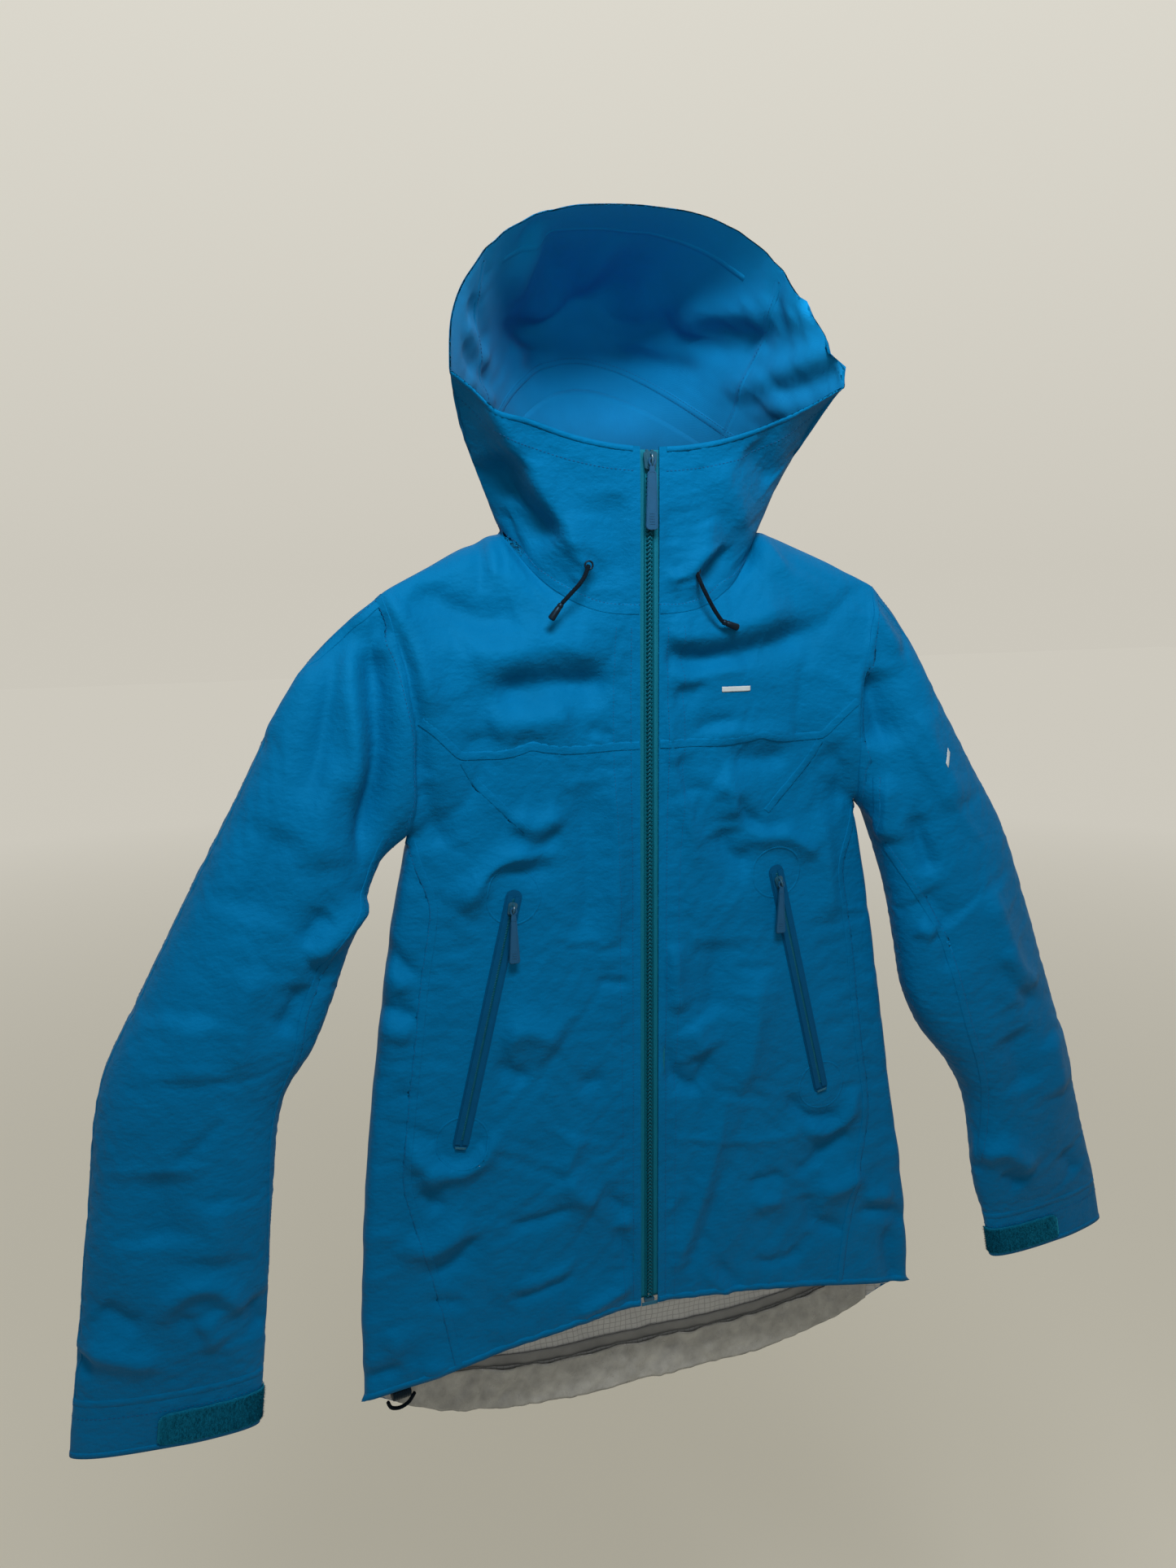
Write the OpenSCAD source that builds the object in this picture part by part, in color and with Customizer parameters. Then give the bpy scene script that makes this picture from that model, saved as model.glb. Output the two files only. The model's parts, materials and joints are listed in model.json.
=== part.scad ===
// Hardshell jacket hanging from the loop inside its back neck.
// Millimetres. +Z is up, the zip side faces -Y and the origin is the top of the hang loop.
// Every cloth piece is a thin closed sheet. Pieces of the right half are mirrored to the left.

/* [Body] */
// Thickness of one cloth panel
cloth = 1.2; // [0.8:0.1:1.3]
// Length of the pull tab on the main zip
main_tab_length = 50; // [40:1:56]
// Length of the pull tabs on the pocket zips
pocket_tab_length = 42; // [34:1:48]
// Opening length of each pocket zip
pocket_length = 198; // [170:2:200]
// Diameter of the hood cord
hood_cord_d = 3; // [2.4:0.2:3.4]

/* [Hidden] */
$fn = 32;

seam_gap = 1;         // open gap left along a seam between two panels
shoulder_gap = 2.2;   // the same at the shoulder seam, where the panels meet at an angle
front_y = -82;        // plane of the front panels at the zip
neck_back_y = 10;     // back of the neck seam
neck_half = 104;      // half width of the neck seam
neck_front_z = -70;   // neck seam at the zip
neck_side_z = -5;     // neck seam at the shoulder seam
neck_back_z = 5;      // neck seam at the middle of the back
shoulder_half = 198;  // half width at the shoulder tips
shoulder_z = -48;     // height of the shoulder tips
shoulder_y = -68;     // shoulder tips, front to back
chest_z = -172;       // straight seam across the chest
back_seam_z = -150;   // seam across the back
chin_z = 52;          // top of the zip
tape_half = 7.5;      // half of the zip tape that shows
zip_bottom_z = -640;

neck_u = neck_half / shoulder_half;
neck_mid_y = (front_y + neck_back_y) / 2;
neck_depth = (neck_back_y - front_y) / 2;

// Half width of the body, the middle of its depth, and its back, by height
half_widths = [[-690, 250], [-610, 247], [-550, 240], [-470, 229], [-400, 218], [-350, 211],
               [-300, 203], [-242, 190], [-200, 180], [-150, 178], [-100, 184], [-48, 198]];
side_depths = [[-690, -76], [-400, -72], [-48, -68]];
back_depths = [[-760, -34], [-690, -30], [-450, -16], [-150, 0], [-48, 6]];
// Share of the half width taken by the front panel and by the back panel, by height
side_seams = [[-690, 0.66], [-610, 0.72], [-550, 0.79], [-500, 0.85], [-285, 0.84], [-226, 0.985]];
back_seams = [[-690, 0.88], [-510, 0.86], [-285, 0.86], [-226, 0.985]];
// How far the body has opened out below the shoulder seam, by drop
opening_out = [[0, 0], [10, 0.42], [30, 0.72], [60, 0.92], [90, 1], [800, 1]];

// Sleeves, from armhole to cuff edge: outer x and z, inner x and z, middle y, half depth
sleeve_left = [
  [206, -52, 196, -232, -64, 26], [240, -84, 206, -244, -70, 30], [276, -135, 220, -266, -76, 32],
  [312, -200, 234, -300, -82, 33], [345, -260, 248, -338, -86, 32], [380, -325, 264, -374, -88, 31],
  [410, -388, 287, -410, -90, 30], [424, -477, 298, -475, -90, 26], [436, -560, 307, -566, -90, 20],
  [445, -620, 314, -626, -90, 14], [451, -662, 319, -668, -90, 11]];
sleeve_right = [
  [206, -52, 196, -232, -64, 26], [224, -84, 198, -246, -72, 27], [250, -139, 206, -275, -80, 28],
  [280, -193, 214, -310, -86, 29], [312, -248, 221, -350, -90, 30], [336, -308, 230, -392, -92, 31],
  [361, -374, 249, -430, -92, 31], [384, -436, 280, -470, -92, 29], [406, -497, 299, -510, -91, 26],
  [428, -560, 313, -585, -90, 20], [444, -608, 325, -624, -90, 14], [455, -648, 334, -664, -90, 11]];

function mix(a, b, t) = a + (b - a) * t;
function unit(v) = v / norm(v);
function clamp(v, low, high) = min(max(v, low), high);

// ---- thin sheets -------------------------------------------------------
// A sheet is given as rows of outer points, top row first, running left to right
// as seen from outside.
function row_step(rows, j, i) =
  rows[j][min(i + 1, len(rows[0]) - 1)] - rows[j][max(i - 1, 0)];
function column_step(rows, j, i) =
  rows[min(j + 1, len(rows) - 1)][i] - rows[max(j - 1, 0)][i];
function inward(rows, j, i) = unit(cross(row_step(rows, j, i), column_step(rows, j, i)));
function deeper(rows, depth) =
  [for (j = [0 : len(rows) - 1])
    [for (i = [0 : len(rows[0]) - 1]) rows[j][i] + depth * inward(rows, j, i)]];

module sheet(rows, thick = cloth) {
  down = len(rows);
  wide = len(rows[0]);
  back = down * wide;
  inner = deeper(rows, thick);
  outer_faces = [for (j = [0 : down - 2]) for (i = [0 : wide - 2])
    each [[j * wide + i, j * wide + i + 1, (j + 1) * wide + i + 1],
          [j * wide + i, (j + 1) * wide + i + 1, (j + 1) * wide + i]]];
  inner_faces = [for (f = outer_faces) [f[2] + back, f[1] + back, f[0] + back]];
  border = concat(
    [for (i = [wide - 1 : -1 : 1]) i],
    [for (j = [0 : down - 2]) j * wide],
    [for (i = [0 : wide - 2]) (down - 1) * wide + i],
    [for (j = [down - 1 : -1 : 1]) j * wide + wide - 1]);
  count = len(border);
  rim_faces = [for (k = [0 : count - 1])
    let (a = border[k], b = border[(k + 1) % count])
    each [[a, b, b + back], [a, b + back, a + back]]];
  polyhedron(
    [for (row = rows) each row, for (row = inner) each row],
    concat(outer_faces, inner_faces, rim_faces));
}

module left_side() {
  mirror([1, 0, 0]) children();
}

// ---- body of the jacket ------------------------------------------------
function neck_round(u) = u < neck_u ? 1 - pow(u / neck_u, 3.2) : 0;
function shoulder_drop(u) = u < neck_u ? 0 : (u - neck_u) / (1 - neck_u);
function front_top(u) = u < neck_u
  ? mix(neck_side_z, neck_front_z, neck_round(u))
  : mix(neck_side_z, shoulder_z, pow(shoulder_drop(u), 1.15));
function back_top(u) = u < neck_u
  ? mix(neck_side_z, neck_back_z, neck_round(u))
  : front_top(u);
function front_hem(u) = -646 - 36 * pow(u, 1.5);
function back_hem(u) = -682 - 72 * (1 - pow(u, 4));
function chest_line(u) = chest_z + 30 * clamp((u - 0.83) / 0.17, 0, 1);

// Point on the front (side = -1) or back (side = 1) at share u of the half width
function body_point(u, z, side) =
  let (
    top = side < 0 ? front_top(u) : back_top(u),
    wide = lookup(z, half_widths),
    seam_y = mix(neck_mid_y, shoulder_y, shoulder_drop(u)),
    far_y = side < 0 ? front_y : lookup(z, back_depths),
    mid_y = lookup(z, side_depths),
    full_y = mid_y + (far_y - mid_y) * sqrt(max(0, 1 - pow(u, side < 0 ? 6 : 4))),
    top_y = u < neck_u ? neck_mid_y + side * neck_depth * neck_round(u) : seam_y)
  [wide * u, mix(top_y, full_y, lookup(top - z, opening_out)), z];

// Grid between two height lines on one side, u running from first to last
function body_rows(first, last, top, bottom, side, wide, down) =
  [for (j = [0 : down])
    [for (i = [0 : wide])
      let (u = mix(first, last, i / wide))
      body_point(u, mix(top[i], bottom[i], j / down), side)]];

function along(first, last, wide, f) =
  [for (i = [0 : wide]) f(mix(first, last, i / wide))];

zip_u = tape_half / shoulder_half;

module front_yoke() {
  color("steelblue")
    sheet(body_rows(zip_u, 0.995, along(zip_u, 0.995, 10, function(u) front_top(u) - shoulder_gap),
      along(zip_u, 0.995, 10, function(u) chest_line(u) + seam_gap), -1, 10, 5));
}

hem_seam_u = 0.66;    // where the side seam meets the front hem

// The front panel narrows from the armhole to the side seam
module front_panel() {
  wide = 9;
  down = 12;
  rows = [for (j = [0 : down])
    [for (i = [0 : wide])
      let (
        s = i / wide,
        z = mix(chest_line(mix(zip_u, 0.981, s)) - seam_gap, front_hem(hem_seam_u * s), j / down),
        edge = lookup(z, side_seams))
      body_point(mix(tape_half / lookup(z, half_widths), edge - 0.004, s), z, -1)]];
  color("steelblue") sheet(rows);
}

module side_panel() {
  half = 4;
  down = 12;
  front = [for (j = [0 : down])
    [for (i = [0 : half])
      let (s = i / half, z = mix(-236, front_hem(mix(hem_seam_u, 1, s)), j / down))
      body_point(mix(lookup(z, side_seams) + 0.004, 1, s), z, -1)]];
  rear = [for (j = [0 : down])
    [for (i = [1 : half])
      let (s = i / half, z = mix(-236, back_hem(mix(1, 0.88, s)), j / down))
      body_point(mix(1, lookup(z, back_seams) + 0.004, s), z, 1)]];
  color("steelblue") sheet([for (j = [0 : down]) concat(front[j], rear[j])]);
}

// Back pieces run from +X to -X, which is left to right as seen from behind
function across_back(rows) =
  [for (row = rows)
    concat([for (i = [len(row) - 1 : -1 : 0]) row[i]],
      [for (i = [1 : len(row) - 1]) [-row[i][0], row[i][1], row[i][2]]])];

module back_yoke() {
  rows = body_rows(0, 0.995, along(0, 0.995, 9, function(u) back_top(u) - shoulder_gap),
    along(0, 0.995, 9, function(u) back_seam_z + seam_gap), 1, 9, 5);
  color("steelblue") sheet(across_back(rows));
}

module back_panel() {
  wide = 8;
  down = 13;
  rows = [for (j = [0 : down])
    [for (i = [0 : wide])
      let (
        s = i / wide,
        z = mix(back_seam_z - seam_gap, back_hem(0.87 * s), j / down),
        edge = lookup(z, back_seams) - 0.004)
      body_point(edge * s, z, 1)]];
  color("steelblue") sheet(across_back(rows));
}

// Strips sewn to the inside of the hem
facing_depth = 2;
facing_height = 34;

module hem_facing() {
  rows = body_rows(0.06, 0.84, along(0.06, 0.84, 9, function(u) front_hem(u) + facing_height),
    along(0.06, 0.84, 9, function(u) front_hem(u) + 1), -1, 9, 1);
  color("silver") sheet(deeper(rows, facing_depth), 0.8);
}

module hem_facing_back() {
  rows = body_rows(0, 0.84, along(0, 0.84, 8, function(u) back_hem(u) + facing_height),
    along(0, 0.84, 8, function(u) back_hem(u) + 1), 1, 8, 1);
  color("silver") sheet(deeper(across_back(rows), facing_depth), 0.8);
}

module hem_seam_tape() {
  rows = body_rows(0, 0.84, along(0, 0.84, 8, function(u) back_hem(u) + facing_height + 9),
    along(0, 0.84, 8, function(u) back_hem(u) + facing_height + 1), 1, 8, 1);
  color("dimgray") sheet(deeper(across_back(rows), facing_depth), 0.6);
}

module storm_flap() {
  flap_half = 20;
  color("steelblue")
    translate([-flap_half, front_y + 6.4, zip_bottom_z])
      cube([2 * flap_half, cloth, chin_z - zip_bottom_z - 6]);
}

// ---- hood --------------------------------------------------------------
// turn is 0 at the zip, 90 at the right side, 180 at the back and 270 at the left side;
// up is 0 at the neck seam and 1 at the rim round the face
rim_half = 150;
rim_side_y = -98;
rim_side_z = 97;
rim_top_y = -72;
rim_top_z = 219;
// Half width of the rim above its widest place, by turn; it hangs more slack on the left
rim_right = [[90, 150], [100, 138], [110, 122], [120, 109], [130, 97], [150, 69], [165, 40], [180, 0]];
rim_left = [[90, 150], [100, 148], [110, 141], [120, 129], [130, 115], [150, 82], [165, 45], [180, 0]];

function neck_edge(turn) =
  let (round = 1 - pow(abs(sin(turn)), 3.2), side = cos(turn) > 0 ? -1 : 1)
  [neck_half * sin(turn),
   neck_mid_y + side * neck_depth * round,
   mix(neck_side_z, side < 0 ? neck_front_z : neck_back_z, round)];
function face_edge(turn) =
  let (
    around = turn > 180 ? 360 - turn : turn,
    side = turn > 180 ? -1 : 1,
    wide = pow(sin(around), 2),
    table = side > 0 ? rim_right : rim_left)
  around < 90
    ? [side * rim_half * sin(around), mix(front_y, rim_side_y, wide), mix(chin_z, rim_side_z, wide)]
    : [side * lookup(around, table), mix(rim_top_y, rim_side_y, wide),
       mix(rim_side_z, rim_top_z, pow(abs(cos(around)), 0.8))];
function hood_middle(turn) = cos(turn) > 0
  ? [131 * sin(turn), mix(front_y - 1, -58, pow(sin(turn), 2)), mix(-8, 50, pow(sin(turn), 2))]
  : [131 * sin(turn), mix(92, -58, pow(sin(turn), 2)), mix(165, 50, pow(sin(turn), 2))];
function hood_point(turn, up) =
  let (
    low = neck_edge(turn),
    high = face_edge(turn),
    pull = 2 * hood_middle(turn) - (low + high) / 2)
  pow(1 - up, 2) * low + 2 * up * (1 - up) * pull + up * up * high;

function hood_rows(first, last, top, bottom, wide, down) =
  [for (j = [0 : down])
    [for (i = [0 : wide])
      hood_point(mix(first, last, i / wide), mix(top, bottom, j / down))]];

side_start = 4.6;     // turn at the edge of the zip tape
side_end = 138;       // turn of the seam between side and centre of the hood
brim_start = 0.9;     // the brim takes the top of the hood above this

module hood_side(first, last) {
  color("steelblue") sheet(hood_rows(first, last, 0.995, 0.006, 13, 9));
}

module hood_center() {
  color("steelblue") sheet(hood_rows(side_end + 0.6, 360 - side_end - 0.6, brim_start, 0.006, 8, 10));
}

module hood_brim() {
  color("steelblue") sheet(hood_rows(side_end + 0.6, 360 - side_end - 0.6, 0.998, brim_start + 0.006, 8, 2));
}

module collar_lining() {
  color("skyblue") sheet(deeper(hood_rows(18, 78, 0.94, 0.04, 7, 5), 4), 0.8);
}

module neck_band() {
  color("skyblue") sheet(deeper(hood_rows(97, 263, 0.3, 0.04, 12, 2), 4), 0.8);
}

// ---- main zip ----------------------------------------------------------
tape_y = front_y + 1.5;      // front of the tapes, behind the panels
tape_thick = 0.8;
coil_gap = 0.6;              // half of the slit between the two coils
coil_half = 2.8;
coil_thick = 2;
slider_z = 42;
slider_half = 6.5;
slider_wide = 5.5;
pin_y = tape_y - coil_thick - 4.4;
zip_travel = 655;

module zip_tape() {
  color("darkcyan")
    translate([coil_gap + 0.1, tape_y, zip_bottom_z])
      cube([13, tape_thick, chin_z - zip_bottom_z - 2]);
}

module zip_coil() {
  height = chin_z - zip_bottom_z - 6;
  color("darkslategray")
    translate([(coil_gap + coil_half) / 2, tape_y - coil_thick / 2 - 0.1, zip_bottom_z + 1])
      linear_extrude(height)
        square([coil_half - coil_gap, coil_thick], center = true);
}

module zip_top_stops() {
  color("gray")
    for (side = [-1, 1])
      translate([side * 2 - 1, tape_y - 1.8, chin_z - 4.6])
        cube([2, 1.7, 2.4]);
}

module zip_bottom_box() {
  color("gray")
    translate([-4.5, tape_y - 2, zip_bottom_z - 5])
      cube([9, 3.4, 4.6]);
}

// Front plate, back plate and the thin post between the coils
module main_slider() {
  front_plate_y = tape_y - coil_thick - 2;
  back_plate_y = tape_y + tape_thick + 0.5;
  color("navy")
    difference() {
      union() {
        translate([-slider_wide, front_plate_y, slider_z - slider_half])
          cube([2 * slider_wide, 1.4, 2 * slider_half]);
        translate([-slider_wide, back_plate_y, slider_z - slider_half])
          cube([2 * slider_wide, 1.2, 2 * slider_half]);
        translate([-0.35, front_plate_y, slider_z + 1])
          cube([0.7, back_plate_y - front_plate_y + 1, 3]);
        for (side = [-1, 1])
          translate([side * 2.7 - 0.6, pin_y - 1.4, slider_z - 1.5])
            cube([1.2, front_plate_y - pin_y + 1.6, 3]);
        translate([-3, pin_y, slider_z])
          rotate([0, 90, 0])
            cylinder(h = 6, r = 0.8);
      }
      for (side = [-1, 1])
        translate([side * 7.2, 0, slider_z - slider_half])
          rotate([90, 0, 0])
            cylinder(h = 200, r = 3, center = true);
    }
}

// Pull tab hanging from a pin at the origin
module pull_tab(length, top_half, bottom_half, thick) {
  difference() {
    union() {
      rotate([0, 90, 0])
        cylinder(h = 3.4, r = 2.4, center = true);
      translate([-1.7, -thick / 2, -8])
        cube([3.4, thick, 8]);
      translate([0, thick / 2, 0])
        rotate([90, 0, 0])
          linear_extrude(thick) {
            polygon([[-top_half, -7], [top_half, -7],
                     [bottom_half, bottom_half - length], [-bottom_half, bottom_half - length]]);
            translate([0, bottom_half - length])
              circle(r = bottom_half);
          }
    }
    rotate([0, 90, 0])
      cylinder(h = 12, r = 1.1, center = true);
  }
}

module main_pull_tab() {
  color("midnightblue")
    translate([0, pin_y, slider_z])
      pull_tab(main_tab_length, 3.6, 4.8, 1.6);
}

// ---- pockets (drawn for the right side) ---------------------------------
pocket_x = 110;
pocket_z = -280;
pocket_angle = 13.5;
welt_half = 6.5;
welt_y = front_y - 0.2;
welt_thick = 1.4;
pocket_pin_y = welt_y - welt_thick - 4.6;
slider_start = 8;

module at_pocket() {
  translate([pocket_x, 0, pocket_z])
    rotate([0, -pocket_angle, 0])
      children();
}

module pocket_welt() {
  color("midnightblue")
    at_pocket()
      translate([0, welt_y, 0])
        rotate([90, 0, 0])
          linear_extrude(welt_thick)
            difference() {
              union() {
                translate([-welt_half, -pocket_length])
                  square([2 * welt_half, pocket_length]);
                circle(r = welt_half);
                translate([0, -pocket_length])
                  circle(r = welt_half);
              }
              translate([-0.5, -pocket_length])
                square([1, pocket_length]);
            }
}

module pocket_slider() {
  plate_y = welt_y - welt_thick - 1.6;
  color("navy")
    at_pocket()
      translate([0, 0, -slider_start]) {
        translate([-3.6, plate_y, -5])
          cube([7.2, 1.3, 10]);
        translate([-0.3, plate_y + 1, -3])
          cube([0.6, 1.6, 5]);
        rotate([0, pocket_angle, 0]) {
          for (side = [-1, 1])
            translate([side * 2.6 - 0.5, pocket_pin_y - 1.3, -1.3])
              cube([1, plate_y - pocket_pin_y + 1.8, 2.6]);
          translate([-3, pocket_pin_y, 0])
            rotate([0, 90, 0])
              cylinder(h = 6, r = 0.8);
        }
      }
}

module pocket_pull_tab() {
  pin_x = pocket_x + slider_start * sin(pocket_angle);
  pin_z = pocket_z - slider_start * cos(pocket_angle);
  color("midnightblue")
    translate([pin_x, pocket_pin_y, pin_z])
      pull_tab(pocket_tab_length, 2.2, 4.4, 2);
}

module pocket_bag() {
  color("lightsteelblue")
    translate([28, front_y + 10.5, -500])
      difference() {
        cube([130, 2, 262]);
        translate([120, -1, 222])
          rotate([0, 45, 0])
            cube([60, 4, 60]);
      }
}

// ---- cords --------------------------------------------------------------
// Tube along a list of points, ringed at each point
module cord(points, diameter, sides = 8) {
  last = len(points) - 1;
  function heading(i) = unit(points[min(i + 1, last)] - points[max(i - 1, 0)]);
  function side_of(i) = unit(cross(heading(i), [0.31, 0.95, 0.05]));
  rings = [for (i = [0 : last]) for (k = [0 : sides - 1])
    let (a = side_of(i), b = cross(heading(i), a), angle = 360 * k / sides)
    points[i] + diameter / 2 * (cos(angle) * a + sin(angle) * b)];
  walls = [for (i = [0 : last - 1]) for (k = [0 : sides - 1])
    let (n = (k + 1) % sides, p = i * sides, q = (i + 1) * sides)
    each [[p + k, q + n, p + n], [p + k, q + k, q + n]]];
  first_cap = [for (k = [1 : sides - 2]) [0, k, k + 1]];
  last_cap = [for (k = [1 : sides - 2]) [last * sides, last * sides + k + 1, last * sides + k]];
  polyhedron(rings, concat(walls, first_cap, last_cap));
}

// Cord route from the collar, then the slant of the cap at its end. The left one is drawn
// on the right side and mirrored.
hood_cord_right = [[36, -86, -38], [39, -88, -47], [44, -90, -58], [50, -90, -68], [56, -90, -76]];
hood_cord_left = [[49, -86, -33], [53, -88, -41], [58, -90, -47], [64, -90, -53], [71, -90, -60]];
cap_slant_right = 111;
cap_slant_left = 143;
cap_length = 14;

module hood_cord(route) {
  color("black") cord(route, hood_cord_d);
}

module cord_cap(route, slant) {
  color("black")
    translate(route[len(route) - 1])
      rotate([0, slant, 0])
        translate([0, 0, 0.4])
          cylinder(h = cap_length, r1 = 2.2, r2 = 2.8);
}

hem_cord_points = [[-197, -58, -699], [-202, -56, -708], [-209, -55, -712], [-216, -57, -709],
                   [-219, -60, -701]];

module hem_cord() {
  color("black") cord(hem_cord_points, 3);
}

module hem_toggle() {
  color("black")
    translate([-208, -58, -696])
      rotate([0, 90, 10])
        cylinder(h = 16, r = 5, center = true);
}

module hood_rear_toggle() {
  spot = hood_point(180, 0.42);
  color("black")
    translate(spot + [0, 6.5, 0])
      rotate([0, 90, 0])
        cylinder(h = 18, r = 5, center = true);
}

// Folded tape sewn inside the back neck; its top is the origin
module hang_loop() {
  half = 30;
  drop = 16;
  tape_wide = 6;
  color("black")
    translate([0, tape_wide / 2, 0])
      rotate([90, 0, 0])
        linear_extrude(tape_wide)
          difference() {
            intersection() {
              translate([0, -drop])
                scale([half / drop, 1])
                  circle(r = drop);
              translate([-half, -drop])
                square([2 * half, drop]);
            }
            translate([0, -drop])
              scale([(half - 1.4) / (drop - 1.4), 1])
                circle(r = drop - 1.4);
          }
}

module chest_mark() {
  color("lightgray")
    translate([60, front_y - 1, -131])
      cube([24, 0.7, 4]);
}

// ---- sleeves ------------------------------------------------------------
// round is 0 at the inner edge, 90 at the front, 180 at the outer edge, 270 at the back
function sleeve_point(s, round) =
  let (
    middle = [(s[0] + s[2]) / 2, s[4], (s[1] + s[3]) / 2],
    half = [(s[0] - s[2]) / 2, 0, (s[1] - s[3]) / 2])
  middle - half * cos(round) - [0, s[5] * sin(round), 0];

function between(a, b, t) = [for (k = [0 : 5]) mix(a[k], b[k], t)];
function sleeve_rows(sections, first, last, wide) =
  [for (s = sections) [for (i = [0 : wide]) sleeve_point(s, mix(first, last, i / wide))]];

function arm(sections) =
  let (n = len(sections))
  [for (k = [0 : n - 3]) sections[k], between(sections[n - 2], sections[n - 3], 0.02)];
function cuff_part(sections, from, to) =
  let (n = len(sections))
  [between(sections[n - 2], sections[n - 1], from), between(sections[n - 2], sections[n - 1], to)];
// Section grown outward all round
function grown(s, by) =
  let (half = unit([s[0] - s[2], s[1] - s[3]]) * by)
  [s[0] + half[0], s[1] + half[1], s[2] - half[0], s[3] - half[1], s[4], s[5] + by];

module sleeve_front(sections) {
  color("steelblue") sheet(sleeve_rows(arm(sections), -24, 171, 9));
}

module sleeve_back(sections) {
  color("steelblue") sheet(sleeve_rows(arm(sections), 174, 333, 8));
}

// The cuff is closed by a seam at its back
module cuff(sections) {
  color("steelblue") sheet(sleeve_rows(cuff_part(sections, 0.02, 1), -120, 239, 18));
}

module loop_patch(sections) {
  grown_part = [for (s = cuff_part(sections, 0.22, 0.88)) grown(s, 2)];
  color("teal") sheet(sleeve_rows(grown_part, -10, 95, 8), 1.2);
}

// Tab lying flat on the back of the cuff, hinged at its sewn end
tab_length = 62;
tab_height = 26;
tab_thick = 1.4;
tab_clear = 2.4;      // hinge axis behind the cuff surface
function tab_hinge(sections) =
  let (s = cuff_part(sections, 0.5, 1)[0])
  [mix(s[2], s[0], 0.58), s[4] + s[5] + tab_clear, mix(s[3], s[1], 0.58)];
function cuff_tilt(sections) =
  let (s = sections[len(sections) - 1])
  atan2(s[1] - s[3], s[0] - s[2]);

module cuff_tab(sections) {
  color("steelblue")
    translate(tab_hinge(sections))
      rotate([0, -cuff_tilt(sections), 0])
        union() {
          translate([-tab_length, -tab_thick / 2, -tab_height / 2])
            cube([tab_length, tab_thick, tab_height]);
          cylinder(h = tab_height, r = 1, center = true);
        }
}

module sleeve_mark() {
  rows = [for (k = [0, 1]) [for (i = [0 : 2])
    sleeve_point(grown(between(sleeve_right[2], sleeve_right[3], 0.3 + 0.08 * k), 1.8),
      mix(112, 124, i / 2))]];
  color("lightgray") sheet(rows, 0.8);
}

// ---- one line per node ---------------------------------------------------
front_yoke();  // front_yoke_right
left_side() front_yoke();  // front_yoke_left
front_panel();  // front_panel_right
left_side() front_panel();  // front_panel_left
side_panel();  // side_panel_right
left_side() side_panel();  // side_panel_left
back_yoke();
back_panel();
hem_facing();  // hem_facing_right
left_side() hem_facing();  // hem_facing_left
hem_facing_back();
hem_seam_tape();
storm_flap();
hood_side(side_start, side_end);  // hood_side_right
hood_side(360 - side_end, 360 - side_start);  // hood_side_left
hood_center();
hood_brim();
collar_lining();  // collar_lining_right
left_side() collar_lining();  // collar_lining_left
neck_band();
zip_tape();  // zip_tape_right
left_side() zip_tape();  // zip_tape_left
zip_coil();  // zip_coil_right
left_side() zip_coil();  // zip_coil_left
zip_top_stops();
zip_bottom_box();
main_slider();
main_pull_tab();
pocket_welt();  // pocket_welt_right
left_side() pocket_welt();  // pocket_welt_left
pocket_slider();  // pocket_slider_right
left_side() pocket_slider();  // pocket_slider_left
pocket_pull_tab();  // pocket_pull_tab_right
left_side() pocket_pull_tab();  // pocket_pull_tab_left
pocket_bag();  // pocket_bag_right
left_side() pocket_bag();  // pocket_bag_left
hood_cord(hood_cord_right);
left_side() hood_cord(hood_cord_left);
cord_cap(hood_cord_right, cap_slant_right);  // cord_cap_right
left_side() cord_cap(hood_cord_left, cap_slant_left);  // cord_cap_left
hood_rear_toggle();
hem_toggle();
hem_cord();
hang_loop();
chest_mark();
sleeve_front(sleeve_right);  // sleeve_front_right
left_side() sleeve_front(sleeve_left);  // sleeve_front_left
sleeve_back(sleeve_right);  // sleeve_back_right
left_side() sleeve_back(sleeve_left);  // sleeve_back_left
cuff(sleeve_right);  // cuff_right
left_side() cuff(sleeve_left);  // cuff_left
loop_patch(sleeve_right);  // loop_patch_right
left_side() loop_patch(sleeve_left);  // loop_patch_left
cuff_tab(sleeve_right);  // cuff_tab_right
left_side() cuff_tab(sleeve_left);  // cuff_tab_left
sleeve_mark();
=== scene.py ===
"""Looks of the hardshell jacket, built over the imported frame. Lengths are in millimetres unless a
name says otherwise; meshes are made in metres."""
import json
import math

import bmesh
import bpy
import numpy as np
from mathutils import Matrix, Vector


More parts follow.
